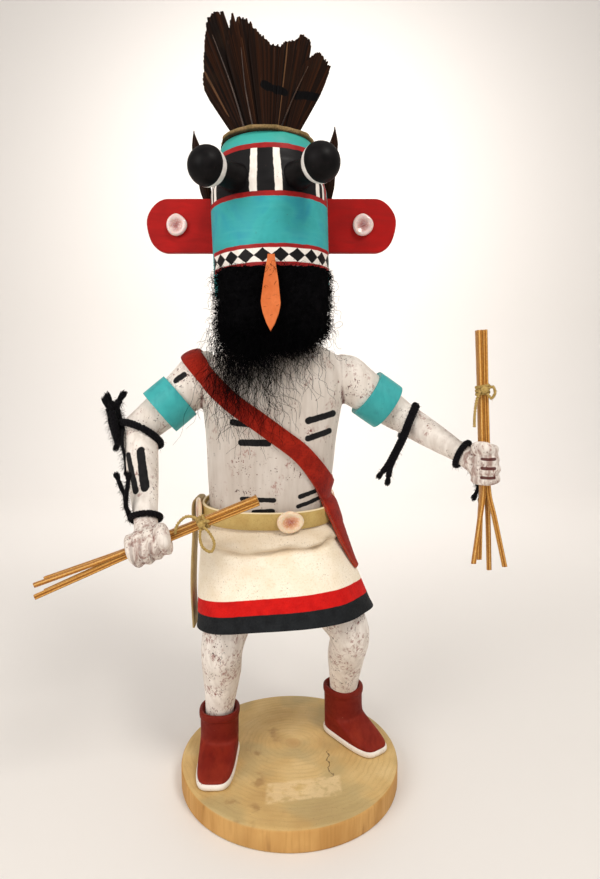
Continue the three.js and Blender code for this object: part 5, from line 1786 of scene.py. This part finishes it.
def curls(root, way, length, steps, fall, curl, pace):
    """Paths of frizzy hairs that stay outside the trunk."""
    number = len(root)
    phase, rate = rng.uniform(0, 6.28, (number, 3)), rng.uniform(0.7, 1.4, (number, 1)) * pace
    clear = rng.uniform(1.9, 3.2, number)
    rows, here = [root], root
    for k in range(1, steps):
        bend = np.sin(phase + rate * k) * curl
        way = unit(way + bend + (0, 0, -fall) + rng.normal(0, curl * 0.25, (number, 3)))
        here = outside_body(here + way * (length / (steps - 1))[:, None], clear)
        here[:, 1] = np.maximum(here[:, 1], HAIR_FRONT)
        rows.append(here)
    return np.stack(rows, 1)


def either(number, share, first, second):
    """Random angles, a share of them in the first range of degrees and the others in the second."""
    chosen = rng.random(number) < share
    return np.radians(np.where(chosen, rng.uniform(*first, number), rng.uniform(*second, number)))


def beard():
    f = Finish("black_fur", 0.8, 0.04)
    base = f.shades(f.noise(2.5, 3, (1, 1, 3)), (0.3, "020203"), (0.75, "070608"))
    fur = f.finish(base, None, f.noise(0.4, 3), 0.4, 0.1)
    rings = []
    for z, y, wide, deep in path_points(BEARD[::-1], 50):
        px, py = oblong(BEARD_X, y, wide, deep, 2.5, 90)
        rings.append(np.stack([px, py, np.full(90, MASK_HEIGHT + z)], 1))
    core = make("beard_core", *lifted(skin(rings)), fur, "fur", ["beard"])
    points = positions(core.data)
    x, _, z = points.T
    rough = 0.3 * np.sin(x * 2.9 + z * 0.9) + 0.3 * np.sin(x * 5.1 - z * 2.3)
    set_positions(core.data, points + normals(core.data) * (rough - 0.4)[:, None])
    part = 1
    # Wool all over
    number = int(WOOL_HAIRS * part)
    root, out = on_beard(np.radians(rng.uniform(-100, 100, number)), rng.uniform(0.02, 0.98, number))
    way = unit(out + (0, 0, -0.5) + rng.normal(0, 0.7, (number, 3)))
    length = rng.uniform(3.5, 8, number) * np.where(root[:, 0] > BEARD_X + 14, 0.6, 1)
    wool = fibres(curls(root, way, length, 7, 0.12, 0.75, 1.1), np.linspace(0.2, 0.08, 7))
    make("beard_wool", *lifted(wool), fur, "fur")
    # Fringe, thinning out below
    number = int(FRINGE_HAIRS * part)
    angle = either(number, 0.55, (-82, -5), (-50, 74))
    root, out = on_beard(angle, rng.uniform(0.5, 0.97, number))
    way = unit(out * 0.4 + (0, 0, -1) + rng.normal(0, 0.4, (number, 3)))
    length = (4 + 22 * rng.random(number) ** 2.4) * np.where(angle < -0.1, 1, 0.65)
    fringe = fibres(curls(root, way, length, 10, 0.2, 0.55, 0.9), np.linspace(0.17, 0.07, 10))
    make("beard_fringe", *lifted(fringe), fur, "fur")
    # Long loose hairs, more at the doll's right
    number = LOOSE_HAIRS[0] + int(LOOSE_HAIRS[1] * part)
    angle = either(number, 0.74, (-78, -6), (-15, 60))
    root, out = on_beard(angle, rng.uniform(0.6, 0.95, number))
    way = unit(out * 0.4 + (0, 0, -1) + rng.normal(0, 0.25, (number, 3)))
    length = np.where(angle < -0.15, rng.uniform(18, 52, number), rng.uniform(12, 34, number))
    long_ = curls(root, way, length, 22, 0.2, 0.42, 0.8)
    # Locks at the doll's right
    number = LOCK_HAIRS[0] + int(LOCK_HAIRS[1] * part)
    root, out = on_beard(np.radians(rng.uniform(-88, -46, number)), rng.uniform(0.35, 0.95, number))
    way = unit(out * 0.2 + (0, 0, -1) + rng.normal(0, 0.15, (number, 3)))
    locks = curls(root, way, rng.uniform(14, 38, number), 22, 0.25, 0.3, 0.7)
    # Stray hairs at the sides
    number = STRAY_HAIRS
    side = np.where(rng.random(number) < 0.5, -1, 1)
    root, out = on_beard(np.radians(side * rng.uniform(60, 95, number)), rng.uniform(0.15, 0.8, number))
    way = unit(out + (0, 0, -0.6) + rng.normal(0, 0.4, (number, 3)))
    stray = curls(root, way, rng.uniform(6, 17, number), 22, 0.16, 0.4, 0.5)
    loose = np.concatenate([long_, locks, stray])
    make("beard_loose", *lifted(fibres(loose, np.linspace(0.2, 0.1, 22))), fur, "fur")


TONGUE_LENGTH = 29.5
TONGUE_WIDTH = 7.2
TONGUE_SLOPE = math.radians(15)


def tongue():
    f = Finish("tongue_leather", 0.75, 0.2)
    grain = f.noise(0.9, 4, (1, 1, 2), 0.4)
    base = f.shades(f.noise(5, 3, seed=1), (0.3, "c7642f"), (0.7, "d6743f"))
    base = f.mix(f.step(grain, 0.45, 0.75, 0, 0.5), base, "bd6434")
    base = f.mix(f.step(f.noise(1.2, 3, (3, 1, 0.7), seed=4), 0.66, 0.72, 0, 0.5), base, "6e3a22")
    orange = f.finish(base, None, grain, 0.6, 0.25)
    half, long_ = TONGUE_WIDTH / 2, TONGUE_LENGTH
    outline = [
        (-1.3, 0), (-1.5, -long_ * 0.07), (-1.8, -long_ * 0.14), (-2.7, -long_ * 0.35), (-half, -long_ * 0.62),
        (-half * 0.95, -long_ * 0.68), (-half * 0.8, -long_ * 0.77), (-half * 0.42, -long_ * 0.9), (0, -long_),
        (half * 0.42, -long_ * 0.91), (half * 0.82, -long_ * 0.78), (half * 0.97, -long_ * 0.69), (half, -long_ * 0.64),
        (2.75, -long_ * 0.35), (1.8, -long_ * 0.14), (1.5, -long_ * 0.07), (1.3, 0),
    ]
    fine = []
    for a, b in zip(outline, outline[1:] + outline[:1]):
        for t in np.linspace(0, 1, 5)[:-1]:
            fine.append((a[0] + (b[0] - a[0]) * t, a[1] + (b[1] - a[1]) * t))
    points, faces = board(fine, 1.0, 0.3)
    points = np.asarray(points)
    points[:, 1] += 0.5 * np.sin(points[:, 2] * 0.11) - 0.012 * (points[:, 0]) ** 2
    c, s = math.cos(TONGUE_SLOPE), math.sin(TONGUE_SLOPE)
    y = points[:, 1] * c + points[:, 2] * s
    z = points[:, 2] * c - points[:, 1] * s
    points = np.stack([points[:, 0] + MASK_X + 0.7, y - 25.2, z + MASK_HEIGHT + 12.5], 1)
    make("tongue_strip", *lifted((points, faces)), orange, "orange_leather", ["tongue"])


# Base

PITH = (1.2, 5.8)


def base():
    f = Finish("base_wood", 0.7, 0.25)
    x, y = f.minus(f.x, PITH[0]), f.minus(f.y, PITH[1])
    radius = f.math("SQRT", f.plus(f.times(x, x), f.times(y, y)))
    radius = f.plus(radius, f.swing(6.0, 16, 3, seed=1))
    rings = f.math("SINE", f.times(radius, 2 * math.pi / 2.3))
    fine = f.math("SINE", f.times(radius, 2 * math.pi / 0.9))
    grown = f.plus(f.times(rings, 0.35), f.times(fine, 0.15))
    clouds = f.noise(20, 3, seed=2)
    top = f.shades(clouds, (0.3, "c4a066"), (0.5, "d2b175"), (0.7, "dcbf86"))
    uneven = f.step(f.noise(11, 3, seed=10), 0.35, 0.65, 0.3, 1)
    faint = f.times(f.step(grown, -0.1, 0.5, 0, 0.26), uneven)
    top = f.mix(faint, top, "a8844c")
    olive = f.step(f.noise(26, 2, seed=5), 0.46, 0.62)
    top = f.mix(f.times(olive, 0.5), top, "a89a70")
    # Paler worn patch towards the front and darker stains
    slant = f.minus(f.y, f.times(f.x, 0.18))
    patch = f.times(f.within(f.x, -9, 21, soft=0.8), f.within(slant, -32, -20, soft=0.8))
    patch = f.times(patch, f.step(f.noise(4, 4, seed=6), 0.3, 0.55))
    top = f.mix(f.times(patch, 0.7), top, "e8cd9c")
    stain = f.times(f.step(f.noise(9, 4, seed=7), 0.56, 0.72), f.within(f.x, -40, -4, soft=6))
    top = f.mix(f.times(stain, 0.5), top, "8a6136")
    pith = f.step(radius, 1.2, 5.0, 1, 0)
    top = f.mix(f.times(pith, 0.4), top, "b98a52")
    # Drying crack, a thin wandering line right of the pith
    wander = f.swing(9.0, 4.5, 4, seed=8)
    line = f.math("ABSOLUTE", f.minus(f.minus(f.x, 17.0), wander))
    crack = f.times(f.step(line, 0.12, 0.42, 1, 0), f.within(f.y, -17, 0, soft=1.0))
    top = f.mix(f.times(crack, 0.75), top, "4a331c")
    pores = f.step(f.noise(0.5, 2, seed=9), 0.62, 0.7)
    top = f.mix(f.times(pores, 0.25), top, "7d6236")
    lines = f.noise(1.2, 4, (1, 1, 14), 0.2, seed=3)
    bark = f.shades(f.noise(12, 3, (1, 1, 3), seed=4), (0.3, "ba894a"), (0.55, "cfa05f"), (0.75, "b38347"))
    bark = f.mix(f.step(lines, 0.45, 0.75, 0, 0.35), bark, "a5763c")
    dark = f.step(f.noise(5, 3, (1, 1, 6), seed=6), 0.62, 0.76)
    bark = f.mix(f.times(dark, 0.4), bark, "7c4d28")
    out = f.math("SQRT", f.plus(f.times(f.x, f.x), f.times(f.y, f.y)))
    side = f.step(out, BASE_RADIUS - 0.7, BASE_RADIUS - 0.3)
    base_colour = f.mix(side, top, bark)
    height = f.plus(f.times(grown, 0.4), f.times(lines, 0.4))
    height = f.minus(height, f.times(crack, 1.5))
    wood = f.finish(base_colour, f.step(lines, 0.2, 0.8, 0.6, 0.78), height, 0.35, 0.3)
    b, t = BASE_RADIUS, BASE_THICKNESS
    profile = [(0.2, 0), (b - 2, 0), (b - 0.7, 0.05), (b - 0.15, 0.35), (b, 1.0), (b, t / 2), (b, t - 1.1),
               (b - 0.15, t - 0.4), (b - 0.7, t - 0.05), (b - 2, t)]
    rings_top = [(r, t) for r in np.linspace(b - 3, 0.2, 60)]
    rows = np.array(profile + rings_top)
    turn = angles(240)
    rings = []
    for r, z in rows:
        wave = 1 - 0.004 * (1 + np.sin(3 * turn + 1)) * (r / b) ** 2
        dip = 0.12 * np.sin(r * 0.9 + 2 * np.sin(turn)) * (r < b - 2.5) * (z > 5)
        level = np.full(240, z) + np.minimum(dip, 0)
        rings.append(np.stack([r * wave * np.cos(turn), r * wave * np.sin(turn), level], 1))
    make("base_slice", *skin(rings), wood, "base_wood", ["base"])


# Camera, floor and light

CAMERA_AT = (4.40, -251.56, 174.32)
CAMERA_PITCH = math.radians(5.8)
SENSOR = 36
FOCAL_PIXELS = 600
PICTURE_HEIGHT = 879
LENS = SENSOR * FOCAL_PIXELS / PICTURE_HEIGHT
# The floor and the wall behind it, which it curves up into
SWEEP_FRONT = -1200
SWEEP_BACK = 600
SWEEP_RADIUS = 300
SWEEP_TOP = 2400
SWEEP_HALF = 2600


def camera():
    data = bpy.data.cameras.new("camera")
    data.lens, data.sensor_width, data.sensor_fit = LENS, SENSOR, "AUTO"
    data.clip_start, data.clip_end = 0.01, 20
    view = bpy.data.objects.new("camera", data)
    view.location = Vector(CAMERA_AT) * MM
    view.rotation_euler = (math.pi / 2 - CAMERA_PITCH, 0, 0)
    bpy.context.scene.collection.objects.link(view)
    bpy.context.scene.camera = view


def floor():
    material = bpy.data.materials.new("floor")
    material.use_nodes = True
    shader = material.node_tree.nodes["Principled BSDF"]
    shader.inputs["Base Color"].default_value = colour("edeae6")
    shader.inputs["Roughness"].default_value = 0.8
    r = SWEEP_RADIUS
    profile = [(SWEEP_FRONT, 0), (SWEEP_BACK, 0)]
    for a in np.linspace(0, np.pi / 2, 24)[1:]:
        profile.append((SWEEP_BACK + r * math.sin(a), r - r * math.cos(a)))
    profile += [(SWEEP_BACK + r, SWEEP_TOP)]
    points = [(x, y, z) for y, z in profile for x in (-SWEEP_HALF, SWEEP_HALF)]
    faces = [(2 * i, 2 * i + 1, 2 * i + 3, 2 * i + 2) for i in range(len(profile) - 1)]
    mesh = bpy.data.meshes.new("floor")
    mesh.from_pydata((np.array(points) * MM).tolist(), [], faces)
    mesh.materials.append(material)
    mesh.shade_smooth()
    sweep = bpy.data.objects.new("floor", mesh)
    bpy.context.scene.collection.objects.link(sweep)


def light(name, at, aim, size, power, code):
    data = bpy.data.lights.new(name, "AREA")
    data.shape, data.size, data.energy = "DISK", size * MM, power
    data.color = colour(code)[:3]
    lamp = bpy.data.objects.new(name, data)
    lamp.location = Vector(at) * MM
    lamp.rotation_euler = (Vector(aim) - Vector(at)).to_track_quat("-Z", "Y").to_euler()
    bpy.context.scene.collection.objects.link(lamp)


def lights():
    light("key", (330, -430, 760), (0, 0, 150), 260, 3.0, "fffaf3")
    light("fill", (-480, -560, 460), (0, 0, 150), 520, 3.0, "fffaf5")
    light("back", (0, 420, 620), (0, 1000, 250), 500, 2.9, "fffaf7")
    world = bpy.data.worlds.new("studio")
    world.use_nodes = True
    world.node_tree.nodes["Background"].inputs[0].default_value = colour("fffaf6")
    world.node_tree.nodes["Background"].inputs[1].default_value = 0.5
    bpy.context.scene.world = world
    bpy.context.scene.view_settings.view_transform = "Standard"


base()
body = carved_body()
boots()
mask()
eyes()
ears()
shells()
crown()
fan()
side_feathers()
kilt()
belt()
bandolier()
armbands()
yarns(body)
whips()
beard()
tongue()
camera()
floor()
lights()
